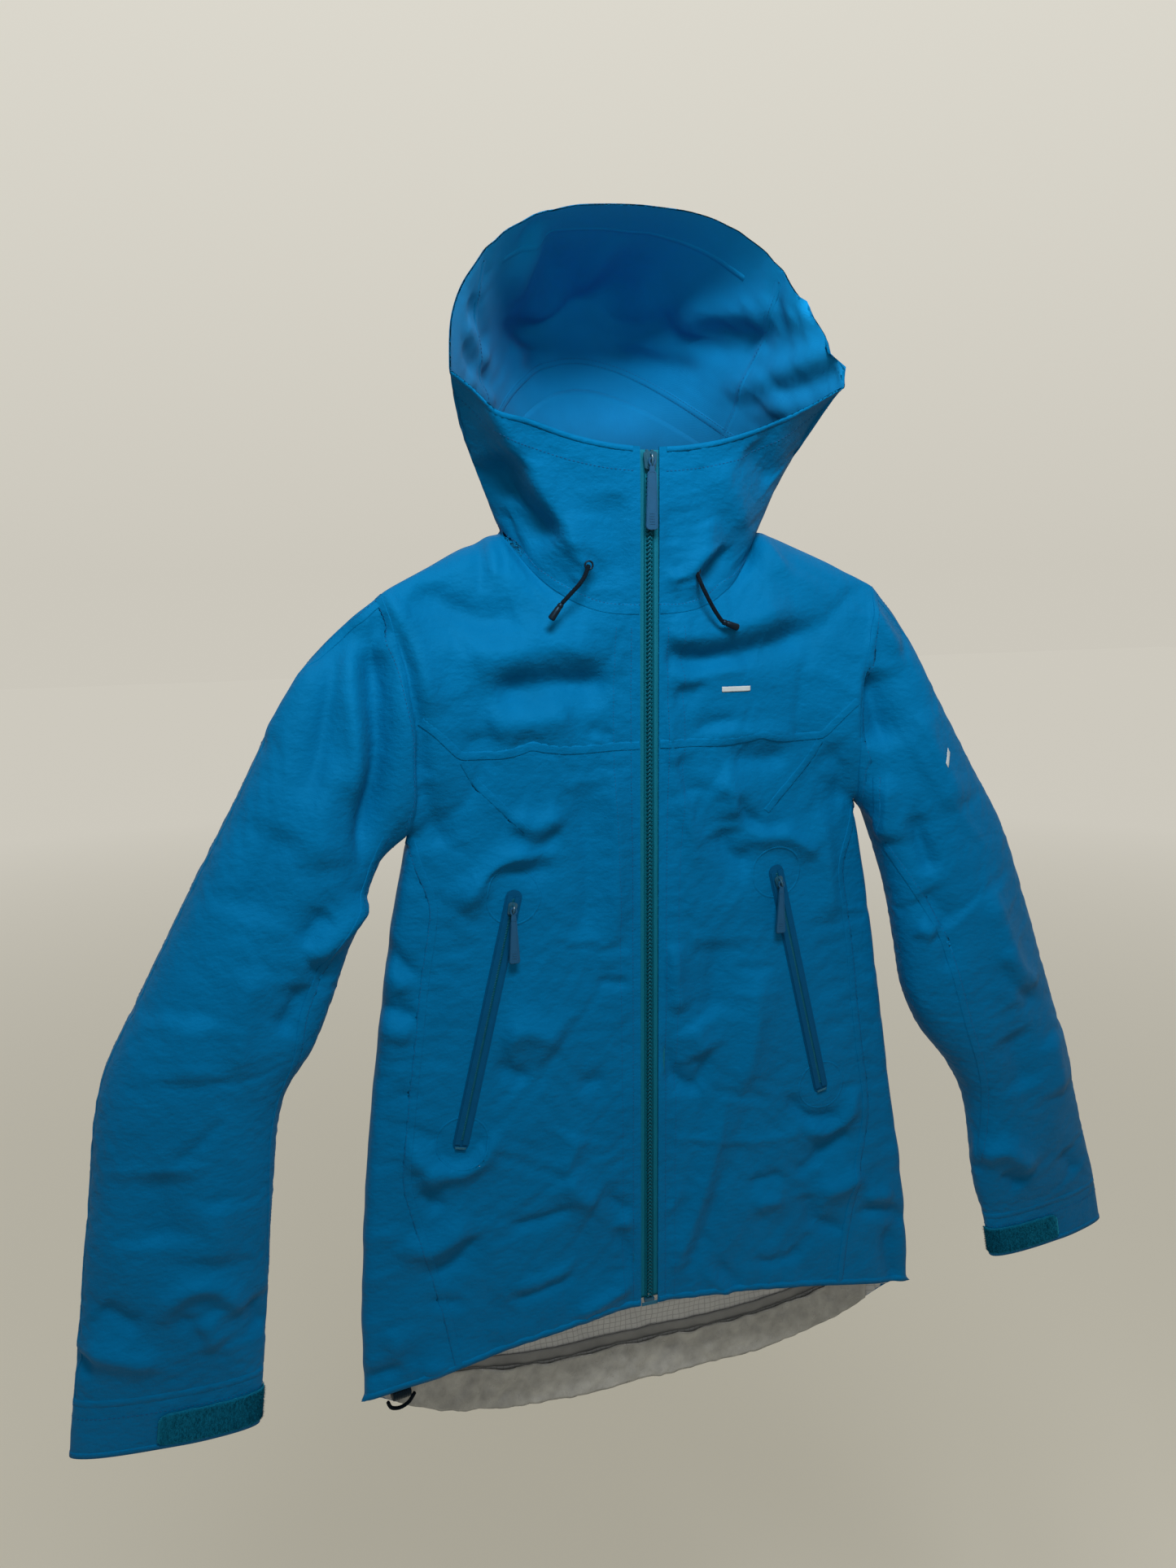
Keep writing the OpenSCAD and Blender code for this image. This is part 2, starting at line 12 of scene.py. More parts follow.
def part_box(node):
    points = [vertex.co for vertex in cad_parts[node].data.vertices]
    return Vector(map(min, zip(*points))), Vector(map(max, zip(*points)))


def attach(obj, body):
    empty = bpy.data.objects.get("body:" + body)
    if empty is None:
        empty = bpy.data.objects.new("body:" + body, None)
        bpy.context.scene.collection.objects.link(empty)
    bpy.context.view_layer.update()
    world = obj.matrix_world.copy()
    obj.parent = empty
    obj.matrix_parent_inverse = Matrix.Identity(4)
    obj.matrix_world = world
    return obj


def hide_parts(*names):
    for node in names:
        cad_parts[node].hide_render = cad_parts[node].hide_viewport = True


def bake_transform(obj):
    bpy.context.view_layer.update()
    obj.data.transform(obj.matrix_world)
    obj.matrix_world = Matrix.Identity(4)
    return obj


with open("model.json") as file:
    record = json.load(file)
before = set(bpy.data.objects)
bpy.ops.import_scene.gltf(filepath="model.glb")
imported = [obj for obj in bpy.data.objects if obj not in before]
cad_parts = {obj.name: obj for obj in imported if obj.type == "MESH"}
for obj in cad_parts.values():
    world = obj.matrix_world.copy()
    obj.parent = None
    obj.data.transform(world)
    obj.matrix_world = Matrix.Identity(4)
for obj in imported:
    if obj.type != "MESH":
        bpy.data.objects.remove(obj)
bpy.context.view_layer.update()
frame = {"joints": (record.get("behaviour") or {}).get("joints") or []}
MM = 0.001
# Place of each hinge
PINS = {row["name"]: np.array(row["pos_m"]) / MM for row in frame["joints"] if "pos_m" in row}
rng = np.random.default_rng(7)

# ---------------------------------------------------------------- dimensions
FRONT_Y = -82
NECK_BACK_Y = 10
NECK_HALF = 104
NECK_FRONT_Z = -70
NECK_SIDE_Z = -5
NECK_BACK_Z = 5
SHOULDER_HALF = 198
SHOULDER_Z = -48
SHOULDER_Y = -68
UNDERARM_Z = -228
CHEST_Z = -172
BACK_SEAM_Z = -150
CHIN_Z = 52
TAPE_HALF = 7.5
TAPE_Y = FRONT_Y + 1.5
ZIP_BOTTOM_Z = -640
FRONT_HEM_Z, FRONT_HEM_DROP = -646, 36    # at the middle, and how much lower at the side
BACK_HEM_Z, BACK_HEM_DROP = -682, 72      # at the side, and how much lower at the middle
HEM_LEAN = 8.5
CLOTH = 1.0
POCKET_TURN = math.radians(13.5)
POCKET_LENGTH = 198
POCKET_TOP = (110, -280)      # x and z of the slit's top end
POCKET_LOW = (POCKET_TOP[0] + POCKET_LENGTH * math.sin(POCKET_TURN),
              POCKET_TOP[1] - POCKET_LENGTH * math.cos(POCKET_TURN))
CHEST_MARK = (72, -129)       # x and z of its middle

NECK_U = NECK_HALF / SHOULDER_HALF
ZIP_U = TAPE_HALF / SHOULDER_HALF
NECK_MID_Y = (FRONT_Y + NECK_BACK_Y) / 2
NECK_DEPTH = (NECK_BACK_Y - FRONT_Y) / 2

HALF_WIDTHS = [(-690, 250), (-610, 247), (-550, 240), (-470, 229), (-400, 218), (-350, 211),
               (-300, 203), (-242, 190), (-200, 180), (-150, 178), (-100, 184), (-48, 198)]
SIDE_DEPTHS = [(-690, -76), (-400, -72), (-48, -68)]
BACK_DEPTHS = [(-760, -34), (-690, -30), (-450, -16), (-150, 0), (-48, 6)]
SIDE_SEAMS = [(-690, 0.66), (-610, 0.72), (-550, 0.79), (-500, 0.85), (-285, 0.84), (-226, 0.985)]
BACK_SEAMS = [(-690, 0.88), (-510, 0.86), (-285, 0.86), (-226, 0.985)]
OPENING_OUT = [(0, 0), (10, 0.42), (30, 0.72), (60, 0.92), (90, 1), (800, 1)]

# Half width of the hood's rim above its widest place, by turn in degrees
RIM_RIGHT = [(90, 150), (100, 138), (110, 122), (120, 109), (130, 97), (150, 69), (165, 40), (180, 0)]
RIM_LEFT = [(90, 150), (100, 148), (110, 141), (120, 129), (130, 115), (150, 82), (165, 45), (180, 0)]
RIM_HALF = 150
RIM_SIDE_Y, RIM_SIDE_Z = -98, 97
RIM_TOP_Y, RIM_TOP_Z = -72, 219
# The hood halfway from neck to rim
HOOD_HALF = 131
HOOD_SIDE_Y, HOOD_SIDE_Z = -58, 50
HOOD_LOW_Y, HOOD_LOW_Z = FRONT_Y - 1, -8
HOOD_HIGH_Y, HOOD_HIGH_Z = 92, 165
HOOD_SEAM_TURN = 138
BRIM_START = 0.9
GATHER_ROW = 34

# Sleeve sections from armhole to cuff edge: outer x, z, inner x, z, middle y, half depth
ARMHOLE = (198, -48, 184, -228, -68, 24)
SLEEVE_LEFT = [
    ARMHOLE, (240, -84, 206, -244, -70, 30), (276, -135, 220, -266, -76, 32),
    (312, -200, 234, -300, -82, 33), (345, -260, 248, -338, -86, 32), (380, -325, 264, -374, -88, 31),
    (410, -388, 287, -410, -90, 30), (424, -477, 298, -475, -90, 26), (436, -560, 307, -566, -90, 20),
    (445, -620, 314, -626, -90, 14), (451, -662, 319, -668, -90, 11)]
SLEEVE_RIGHT = [
    ARMHOLE, (224, -84, 198, -246, -72, 27), (250, -139, 206, -275, -80, 28),
    (280, -193, 214, -310, -86, 29), (312, -248, 221, -350, -90, 30), (336, -308, 230, -392, -92, 31),
    (361, -374, 249, -430, -92, 31), (384, -436, 280, -470, -92, 29), (406, -497, 299, -510, -91, 26),
    (428, -560, 313, -585, -90, 20), (444, -608, 325, -624, -90, 14), (455, -648, 334, -664, -90, 11)]
SLEEVES = {"right": SLEEVE_RIGHT, "left": SLEEVE_LEFT}
SIDES = (("right", 1), ("left", -1))
SEAM_ANGLES = (171, 336)    # seams between the sleeve's front and back

# Grid sizes of the cloth before it is made finer
NECK_COLS = 20
SHOULDER_COLS = 18
ARM_ROWS = 30
BODY_ROWS = 78
SLEEVE_ROWS = 104
HOOD_ROWS = 44
SIM_FRAMES = 18

# ---------------------------------------------------------------- folds
# Each fold is half width, height out of the cloth (negative is a hollow) and the places that
# it runs through, as x and z.
FRONT_FOLDS = [
    (16, -6, [(-175, -45), (-150, -60), (-125, -70), (-90, -66)]),
    (18, 5, [(-150, -95), (-110, -98), (-70, -92), (-35, -108)]),
    (13, -9, [(-125, -124), (-90, -121), (-60, -119), (-30, -121)]),
    (16, 5, [(-130, -148), (-95, -146), (-60, -143)]),
    (6, -3, [(-120, 0), (-124, -30), (-128, -55)]),
    (6, -2.5, [(-108, -8), (-106, -40)]),
    (5, 2, [(-114, -5), (-116, -45)]),
    (3.5, -2, [(-48, -152), (-42, -159), (-30, -158)]),
    (4, 2, [(-46, -160), (-38, -165)]),
    (4.5, -2, [(-145, -162), (-128, -157), (-114, -165)]),
    (4.5, -2, [(-108, -166), (-95, -162), (-82, -168)]),
    (7, 4.5, [(-196, -50), (-186, -72), (-176, -95), (-171, -118), (-170, -138)]),
    (9, -9, [(-190, -70), (-188, -100), (-184, -130), (-180, -165), (-180, -200)]),
    (5, -3.5, [(-112, -228), (-98, -240), (-84, -241), (-70, -230)]),
    (9, 4, [(-112, -218), (-92, -226), (-70, -218)]),
    (10, 6, [(-88, -246), (-112, -250), (-135, -266), (-152, -288)]),
    (8, -4, [(-78, -257), (-98, -263), (-118, -260), (-134, -270)]),
    (11, -3.5, [(-176, -185), (-171, -212), (-160, -238)]),
    (14, -3, [(-55, -195), (-50, -240), (-50, -280), (-56, -320)]),
    (10, 3, [(-30, -185), (-27, -250), (-30, -330)]),
    (6, -3, [(92, -3), (88, -38)]),
    (5, 2.5, [(101, -5), (112, -28), (122, -42)]),
    (12, 5.5, [(4, -82), (25, -88), (55, -88), (85, -80), (125, -68)]),
    (12, -8, [(8, -98), (35, -104), (65, -102), (110, -94), (150, -80)]),
    (11, 4, [(14, -117), (40, -120), (85, -114)]),
    (8, -3.5, [(18, -131), (36, -131), (52, -122)]),
    (5, -2.5, [(38, -160), (55, -155), (72, -154)]),
    (6, 3, [(45, -165), (80, -164), (125, -168)]),
    (8, 3, [(12, -130), (17, -175), (30, -225), (42, -268)]),
    (9, -3, [(22, -180), (32, -215)]),
    (8, -4, [(68, -180), (95, -187), (118, -184)]),
    (12, 5.5, [(55, -200), (70, -212), (72, -232)]),
    (5, -4, [(74, -212), (84, -231), (100, -240), (118, -240)]),
    (9, 5, [(84, -252), (101, -247), (122, -252), (146, -270)]),
    (10, -4, [(62, -240), (70, -262), (90, -268)]),
    (10, -3.5, [(150, -178), (165, -200), (168, -230)]),
    (12, 3.5, [(148, -230), (158, -280), (160, -330)]),
    (5, -4.5, [(-214, -300), (-202, -316), (-188, -336)]),
    (8, 4, [(-212, -322), (-200, -335), (-192, -345)]),
    (5, -4, [(-222, -352), (-205, -360), (-186, -366)]),
    (8, 4, [(-222, -372), (-205, -376), (-190, -380)]),
    (3.5, -2, [(-204, -426), (-185, -430)]),
    (8, 6, [(-198, -462), (-188, -484), (-166, -496), (-145, -491), (-124, -470)]),
    (10, -4, [(-170, -468), (-155, -476), (-138, -466)]),
    (7, -3, [(-186, -506), (-180, -518), (-174, -528)]),
    (7, 3.5, [(-188, -492), (-176, -508)]),
    (9, 4, [(-202, -544), (-186, -560), (-164, -552), (-160, -535)]),
    (7, -4, [(-186, -580), (-172, -579), (-158, -570), (-145, -552)]),
    (4, -2.5, [(-184, -604), (-158, -612)]),
    (5, -3, [(-122, -552), (-95, -551), (-66, -546)]),
    (10, 4.5, [(-72, -515), (-60, -535), (-45, -545)]),
    (16, 5, [(-128, -392), (-100, -388), (-74, -404)]),
    (7, -3, [(-138, -412), (-120, -418), (-100, -430)]),
    (4, -2.5, [(-44, -356), (-18, -359)]),
    (8, -2.5, [(-60, -440), (-38, -438)]),
    (5, -2.5, [(-38, -536), (-26, -552), (-12, -556)]),
    (4, -2.5, [(-32, -572), (-20, -592), (-12, -612)]),
    (5, 2.5, [(-24, -562), (-16, -575)]),
    (8, 4, [(-68, -642), (-40, -634), (-12, -622)]),
    (4, -2, [(-120, -616), (-90, -613), (-62, -606)]),
    (4, 2, [(-125, -606), (-92, -603), (-66, -596)]),
    (7, 3.5, [(-218, -620), (-202, -656), (-172, -664)]),
    (5, -3, [(-210, -640), (-190, -668)]),
    (5, -3, [(-245, -664), (-225, -660), (-206, -655)]),
    (8, -4.5, [(2, -400), (18, -438), (38, -462)]),
    (6, -3, [(36, -464), (46, -446), (52, -428)]),
    (13, 4, [(36, -400), (48, -430)]),
    (7, 3, [(18, -628), (38, -582), (58, -522), (70, -462)]),
    (6, -2, [(34, -628), (54, -580), (72, -528)]),
    (3, 1.4, [(15, -496), (50, -505), (95, -514), (142, -515)]),
    (5, -4, [(126, -478), (146, -501), (178, -506)]),
    (7, 4.5, [(142, -508), (165, -518), (186, -505), (192, -482)]),
    (8, -4, [(152, -540), (172, -530), (186, -520)]),
    (11, 5, [(158, -572), (182, -572), (200, -560)]),
    (6, -3.5, [(146, -572), (156, -600), (186, -616)]),
    (5, -3.5, [(196, -602), (228, -604), (252, -624)]),
    (7, 3, [(205, -585), (235, -590)]),
    (5, -2.5, [(92, -551), (122, -550)]),
    (5, -2.5, [(136, -552), (162, -540)]),
    (8, 3, [(95, -570), (125, -575)]),
    (4, -2.5, [(96, -626), (116, -632), (144, -628)]),
    (4, -2, [(132, -628), (152, -612)]),
    (4, -2, [(62, -622), (86, -652)]),
    (4, 2, [(52, -628), (74, -655)]),
    (3, 1.8, [(10, -566), (24, -557), (26, -542)]),
    (7, -4, [(232, -620), (232, -652), (242, -680)]),
    (9, 4, [(20, -330), (24, -390)]),
    (16, 4, [(95, -360), (92, -420), (80, -470)]),
    (16, -3.5, [(60, -330), (55, -400)]),
    (9, 3, [(-60, -480), (-75, -515)]),
]
HOOD_FRONT_FOLDS = [
    (11, 11, [(-128, 92), (-110, 66), (-92, 36), (-74, 6), (-56, -20), (-48, -40)]),
    (14, -13, [(-114, 46), (-104, 18), (-88, 0), (-68, -18)]),
    (6, 4, [(-104, 6), (-95, 12), (-84, 2)]),
    (3.5, 3, [(-57, -28), (-46, -34), (-58, -46)]),
    (3.5, -3, [(-50, -24), (-38, -38), (-46, -50)]),
    (14, -3, [(-30, 20), (-26, -20), (-24, -50)]),
    (6, 5, [(8, -33), (20, -44), (40, -31), (62, -16)]),
    (7, -7, [(42, -46), (56, -34), (68, -22)]),
    (8, 4, [(52, 2), (42, -26), (32, -60)]),
    (4, -3, [(22, -30), (28, -50)]),
    (13, -4, [(80, 54), (94, 42), (108, 28)]),
    (12, 3.5, [(50, 40), (70, 15), (84, -6)]),
    (8, -2.5, [(12, 10), (14, -20)]),
    (5, 5, [(-148, 118), (-136, 108), (-126, 92), (-118, 84)]),
    (5, -5, [(-146, 132), (-134, 122), (-130, 104)]),
    (5, 4, [(-150, 146), (-140, 134), (-138, 118)]),
]
HOOD_BACK_FOLDS = [
    (12, -8, [(-65, 225), (-75, 195), (-78, 168)]),
    (6, -6, [(-48, 172), (-25, 184), (-12, 196)]),
    (20, 12, [(-60, 140), (-38, 152), (-14, 172), (18, 186), (40, 192)]),
    (12, -8, [(-12, 206), (14, 204)]),
    (5, 3, [(-10, 198), (6, 190)]),
    (8, -8, [(62, 176), (88, 162), (120, 146)]),
    (10, 8, [(66, 158), (92, 146), (112, 136)]),
    (5, -8, [(128, 150), (148, 148), (160, 158), (152, 174)]),
    (6, 7, [(112, 154), (136, 160), (142, 172)]),
    (7, -6, [(100, 102), (128, 116), (156, 130)]),
    (5, 6, [(108, 92), (134, 104), (158, 118)]),
    (6, -6, [(122, 102), (128, 80)]),
    (7, 6, [(20, 150), (50, 140), (84, 128)]),
    (5, 6, [(-128, 150), (-118, 138), (-104, 130)]),
    (5, -6, [(-130, 138), (-116, 124), (-100, 118)]),
    (5, 6, [(-132, 122), (-118, 110), (-98, 104)]),
    (5, -5, [(-126, 108), (-110, 96), (-94, 92)]),
    (7, 8, [(-80, 150), (-50, 160), (-20, 150), (10, 158)]),
    (6, -6, [(-70, 138), (-40, 146), (0, 140)]),
    (5, 6, [(20, 176), (45, 166), (70, 170)]),
    (6, 7, [(-90, 190), (-60, 205), (-30, 198)]),
]
SLEEVE_LEFT_FOLDS = [
    (14, -6, [(-222, -66), (-234, -100), (-242, -128), (-250, -162), (-262, -195)]),
    (9, -16, [(-206, -66), (-208, -96), (-208, -130), (-208, -165), (-214, -200), (-224, -236)]),
    (9, 7, [(-222, -84), (-224, -120), (-224, -156), (-230, -196)]),
    (8, 5, [(-212, -58), (-206, -82), (-197, -98)]),
    (6, -3, [(-206, -66), (-198, -84)]),
    (12, 4, [(-250, -92), (-272, -125), (-290, -150)]),
    (16, 4, [(-238, -160), (-250, -200), (-255, -240)]),
    (16, -4, [(-275, -205), (-292, -238), (-305, -270)]),
    (8, 7, [(-222, -266), (-246, -288), (-266, -302)]),
    (7, -3, [(-264, -304), (-256, -314), (-262, -326)]),
    (8, -5, [(-250, -268), (-268, -290)]),
    (9, -5, [(-270, -318), (-276, -336), (-288, -352)]),
    (12, 3.5, [(-298, -300), (-312, -340), (-316, -380)]),
    (3.5, -2, [(-362, -436), (-346, -425), (-330, -409)]),
    (18, 3, [(-345, -330), (-350, -380)]),
    (18, -4, [(-372, -440), (-376, -500)]),
    (14, 3, [(-335, -470), (-342, -520)]),
    (7, 5, [(-378, -558), (-372, -542), (-355, -534), (-338, -541), (-324, -566)]),
    (9, 4, [(-352, -560), (-345, -588)]),
    (4, -2.5, [(-371, -552), (-360, -568), (-354, -586)]),
    (10, -4, [(-318, -556), (-312, -590)]),
    (5, -4, [(-440, -580), (-430, -594)]),
    (9, 4, [(-436, -574), (-405, -584), (-385, -592)]),
    (10, -3, [(-420, -540), (-395, -562)]),
]
SLEEVE_RIGHT_FOLDS = [
    (5, -6, [(172, -84), (181, -68), (188, -60)]),
    (7, 5, [(184, -58), (200, -84), (212, -108)]),
    (6, 4, [(176, -92), (190, -100)]),
    (15, -11, [(186, -118), (192, -150), (198, -180)]),
    (9, 6, [(200, -205), (204, -235), (206, -262)]),
    (8, -6, [(222, -235), (228, -262), (238, -285)]),
    (12, 4, [(222, -150), (240, -190), (262, -232)]),
    (4, 1.6, [(214, -168), (240, -214), (286, -266)]),
    (13, -4, [(230, -300), (256, -330)]),
    (5, -3, [(296, -364), (316, -390), (342, -406)]),
    (7, 3, [(300, -352), (322, -376), (346, -392)]),
    (7, -3, [(238, -336), (250, -345), (252, -368)]),
    (6, 5, [(228, -330), (242, -338)]),
    (13, 5, [(284, -300), (306, -350), (322, -410)]),
    (14, -4, [(318, -430), (340, -490)]),
    (16, 4, [(362, -440), (380, -500)]),
    (10, 6, [(304, -560), (330, -548), (358, -574)]),
    (6, -5, [(298, -545), (306, -576)]),
    (8, -4, [(330, -572), (352, -590)]),
    (9, -3, [(392, -560), (412, -590)]),
]


# ---------------------------------------------------------------- small helpers
def table(rows, at):
    """Value at a position, straight between rows."""
    rows = sorted(rows)
    return np.interp(at, [r[0] for r in rows], [r[1] for r in rows])


def mix(a, b, t):
    return a + (b - a) * t


def smooth(t):
    t = np.clip(t, 0, 1)
    return t * t * (3 - 2 * t)


def unit(v):
    v = np.asarray(v, float)
    return v / np.maximum(np.linalg.norm(v, axis=-1, keepdims=True), 1e-9)


def mirrored(grid):
    """The same points on the other side of the middle."""
    return grid * np.array([-1, 1, 1])


def run_along(points):
    """Distance from the start of a line to each of its points."""
    return np.concatenate([[0], np.cumsum(np.linalg.norm(np.diff(points, axis=0), axis=1))])


def catmull(points, t):
    """Smooth curve through a list of points; t runs over the list's indices."""
    p = np.array(points, float)
    i = np.clip(np.floor(t).astype(int), 0, len(p) - 2)
    f = (t - i)[:, None]
    a, b = p[np.maximum(i - 1, 0)], p[i]
    c, d = p[i + 1], p[np.minimum(i + 2, len(p) - 1)]
    return 0.5 * (2 * b + (c - a) * f + (2 * a - 5 * b + 4 * c - d) * f ** 2
                  + (3 * b - a - 3 * c + d) * f ** 3)


def curve(points, step):
    """Smooth curve through a few points, with places about a step apart."""
    rough = catmull(points, np.linspace(0, len(points) - 1, 12 * len(points)))
    run = run_along(rough)
    at = np.linspace(0, run[-1], max(3, int(run[-1] / step) + 1))
    return np.stack([np.interp(at, run, rough[:, k]) for k in range(rough.shape[1])], -1)


def soft_noise(points, size, seed):
    """Smooth value from about -1 to 1 that changes over a size in millimetres."""
    p = np.asarray(points) / size
    state = np.random.default_rng(seed)
    total = np.zeros(len(p))
    for _ in range(9):
        way = unit(state.normal(size=3)) * state.uniform(0.6, 1.5)
        start, bend_start = state.uniform(0, 6.3), state.uniform(0, 6.3)
        bend = 1.3 * np.sin(p[:, ::-1] @ way + bend_start)
        total += np.sin(p @ way * 2.2 + start + bend)
    return total / 4


# ---------------------------------------------------------------- body shape
def neck_share(u):
    """1 at the middle of the neck to 0 at its side."""
    return np.where(u < NECK_U, 1 - (np.minimum(u, NECK_U) / NECK_U) ** 3.2, 0)


def shoulder_share(u):
    """0 at the neck to 1 at the shoulder's end."""
    return np.clip((u - NECK_U) / (1 - NECK_U), 0, 1)


def top_line(u, side):
    """Height of the neck and shoulder seam."""
    center = NECK_FRONT_Z if side < 0 else NECK_BACK_Z
    on_neck = mix(NECK_SIDE_Z, center, neck_share(u))
    return np.where(u < NECK_U, on_neck, mix(NECK_SIDE_Z, SHOULDER_Z, shoulder_share(u) ** 1.15))


def hem_line(u, side):
    """Height of the hem; the front's is a curve up to the zip, the back's a drop tail."""
    if side < 0:
        return FRONT_HEM_Z - FRONT_HEM_DROP * u ** 1.5
    return BACK_HEM_Z - BACK_HEM_DROP * (1 - u ** 4)


def chest_line(u):
    """Height of the seam across the chest, which rises near the armhole."""
    return CHEST_Z + 30 * np.clip((u - 0.83) / 0.17, 0, 1)


def armhole_half(z):
    """Half depth of the armhole at a height."""
    middle, half = (SHOULDER_Z + UNDERARM_Z) / 2, (SHOULDER_Z - UNDERARM_Z) / 2
    return ARMHOLE[5] * np.sqrt(np.clip(1 - ((z - middle) / half) ** 2, 0, 1))


def body_surface(u, z, side):
    """Points of the front or back at shares of the half width."""
    top = top_line(u, side)
    far = FRONT_Y if side < 0 else table(BACK_DEPTHS, z)
    mid = table(SIDE_DEPTHS, z)
    open_share = np.sqrt(np.clip(1 - u ** (6 if side < 0 else 4), 0, 1))
    reach = np.maximum(open_share * np.abs(far - mid), armhole_half(z) * u ** 2)
    full = mid + side * reach
    seam = np.where(u < NECK_U, NECK_MID_Y + side * NECK_DEPTH * neck_share(u),
                    mix(NECK_MID_Y, SHOULDER_Y, shoulder_share(u)))
    y = mix(seam, full, table(OPENING_OUT, top - z))
    return np.stack([table(HALF_WIDTHS, z) * u, y, z], -1)


def half_shares(start, fine):
    """Shares of the half width at the columns of a body grid made finer by a whole number."""
    return np.concatenate([np.linspace(start, NECK_U, fine * NECK_COLS + 1),
                           np.linspace(NECK_U, 1, fine * SHOULDER_COLS + 1)[1:]])


def body_grid(side):
    """Rows by columns of points on the front (side -1) or back (side 1), for x >= 0."""
    u = half_shares(ZIP_U if side < 0 else 0, 1)
    rows = []
    for j in range(ARM_ROWS + BODY_ROWS + 1):
        if j <= ARM_ROWS:
            z = mix(top_line(u, side), UNDERARM_Z, j / ARM_ROWS)
        else:
            z = mix(UNDERARM_Z, hem_line(u, side), (j - ARM_ROWS) / BODY_ROWS)
        rows.append(body_surface(u, z, side))
    grid = np.array(rows)
    if side < 0:
        grid[:, 0, 0] = TAPE_HALF
    return grid


def lean(points):
    """The lower hem hangs a little over to the right; the zip stays straight."""
    drop = smooth((-400 - points[..., 2]) / 290)
    aside = smooth((np.abs(points[..., 0]) - 12) / 170)
    points[..., 0] += HEM_LEAN * drop * aside
    return points


def section_run(sections):
    """Distance down the middle of the arm to each section."""
    return run_along(np.array([((s[0] + s[2]) / 2, (s[1] + s[3]) / 2) for s in sections]))


def section_ring(section, angle):
    """Points round the arm at one section."""
    outer, inner = np.array([section[0], 0, section[1]]), np.array([section[2], 0, section[3]])
    middle = (outer + inner) / 2 + [0, section[4], 0]
    across = np.sign(np.cos(angle)) * np.abs(np.cos(angle)) ** 0.92
    deep = np.sign(np.sin(angle)) * np.abs(np.sin(angle)) ** 0.85
    return middle - across[:, None] * (outer - inner) / 2 - deep[:, None] * np.array([0, section[5], 0])


def sleeve_grid(sections, front, back):
    """Rings down the arm. The first ring is the armhole edge of the body's front and back."""
    edge = np.concatenate([front[ARM_ROWS:0:-1, -1], back[0:ARM_ROWS, -1]])
    angle = np.pi * np.arange(2 * ARM_ROWS) / ARM_ROWS
    run = section_run(sections)
    place = np.interp(np.linspace(0, run[-1], SLEEVE_ROWS), run, np.arange(len(sections)))
    smooth_sections = catmull(sections, place)
    gap = edge - section_ring(smooth_sections[0], angle)
    rows = []
    for k, section in enumerate(smooth_sections):
        rows.append(section_ring(section, angle) + gap * (1 - smooth(np.array(k / 12))))
    return np.array(rows)


# ---------------------------------------------------------------- hood shape
def face_edge(turn, rim):
    """Points of the rim round the face."""
    s, c = np.abs(np.sin(turn)), np.abs(np.cos(turn))
    low = np.stack([RIM_HALF * s, mix(FRONT_Y, RIM_SIDE_Y, s ** 2), mix(CHIN_Z, RIM_SIDE_Z, s ** 2)], -1)
    smooth_rim = catmull(rim, np.interp(np.degrees(turn), [r[0] for r in rim], np.arange(len(rim))))
    high = np.stack([smooth_rim[:, 1], mix(RIM_TOP_Y, RIM_SIDE_Y, s ** 2),
                     mix(RIM_SIDE_Z, RIM_TOP_Z, c ** 0.8)], -1)
    return np.where((turn < np.pi / 2)[:, None], low, high)


def hood_middle(turn):
    """Points round the hood halfway up. A turn of 0 is the zip and pi the back."""
    s = np.abs(np.sin(turn))
    low, high = (np.stack([HOOD_HALF * s, mix(y, HOOD_SIDE_Y, s ** 2), mix(z, HOOD_SIDE_Z, s ** 2)], -1)
                 for y, z in ((HOOD_LOW_Y, HOOD_LOW_Z), (HOOD_HIGH_Y, HOOD_HIGH_Z)))
    return np.where((turn < np.pi / 2)[:, None], low, high)


def hood_half(front, back, rim):
    """Rows from neck to rim; columns from the zip round the side to the back's middle."""
    base = np.concatenate([front[0, :NECK_COLS + 1], back[0, NECK_COLS - 1::-1]])
    turn = np.linspace(math.asin(TAPE_HALF / RIM_HALF), np.pi, len(base))
    edge = face_edge(turn, rim)
    edge[0, 0] = TAPE_HALF
    edge[-1, 0] = 0
    pull = 2 * hood_middle(turn) - (base + edge) / 2
    up = np.linspace(0, 1, HOOD_ROWS)[:, None, None]
    grid = (1 - up) ** 2 * base + 2 * up * (1 - up) * pull + up ** 2 * edge
    grid[:, 0, 0] = TAPE_HALF
    grid[:, -1, 0] = 0
    return grid


# ---------------------------------------------------------------- mesh making
def grid_faces(rows, cols, ring=False, flip=False):
    j, i = np.meshgrid(np.arange(rows - 1), np.arange(cols if ring else cols - 1), indexing="ij")
    n = (i + 1) % cols
    quads = np.stack([j * cols + i, (j + 1) * cols + i, (j + 1) * cols + n, j * cols + n], -1).reshape(-1, 4)
    return quads[:, ::-1] if flip else quads


def mesh_edges(faces, count):
    """The edges of all faces, and those that belong to one face only."""
    edges = np.concatenate([faces[:, [k, (k + 1) % 4]] for k in range(4)])
    keys = edges[:, 0] * count + edges[:, 1]
    return edges, edges[~np.isin(keys, edges[:, 1] * count + edges[:, 0])]


def sheet_faces(first, count):
    """Faces of a closed sheet: the first side, the other side, whose points come count later,
    and the rim between them."""
    _, border = mesh_edges(first, count)
    rim = np.stack([border[:, 1], border[:, 0], border[:, 0] + count, border[:, 1] + count], -1)
    return np.concatenate([first, first[:, ::-1] + count, rim])


def cross_of_corners(points, faces):
    """Face normals, as long as twice the area of each face."""
    a, b, c, d = (points[faces[:, k]] for k in range(4))
    return np.cross(c - a, d - b)


def vertex_normals(points, faces):
    face_normals = cross_of_corners(points, faces)
    total = np.zeros_like(points)
    for k in range(4):
        np.add.at(total, faces[:, k], face_normals)
    return unit(total)


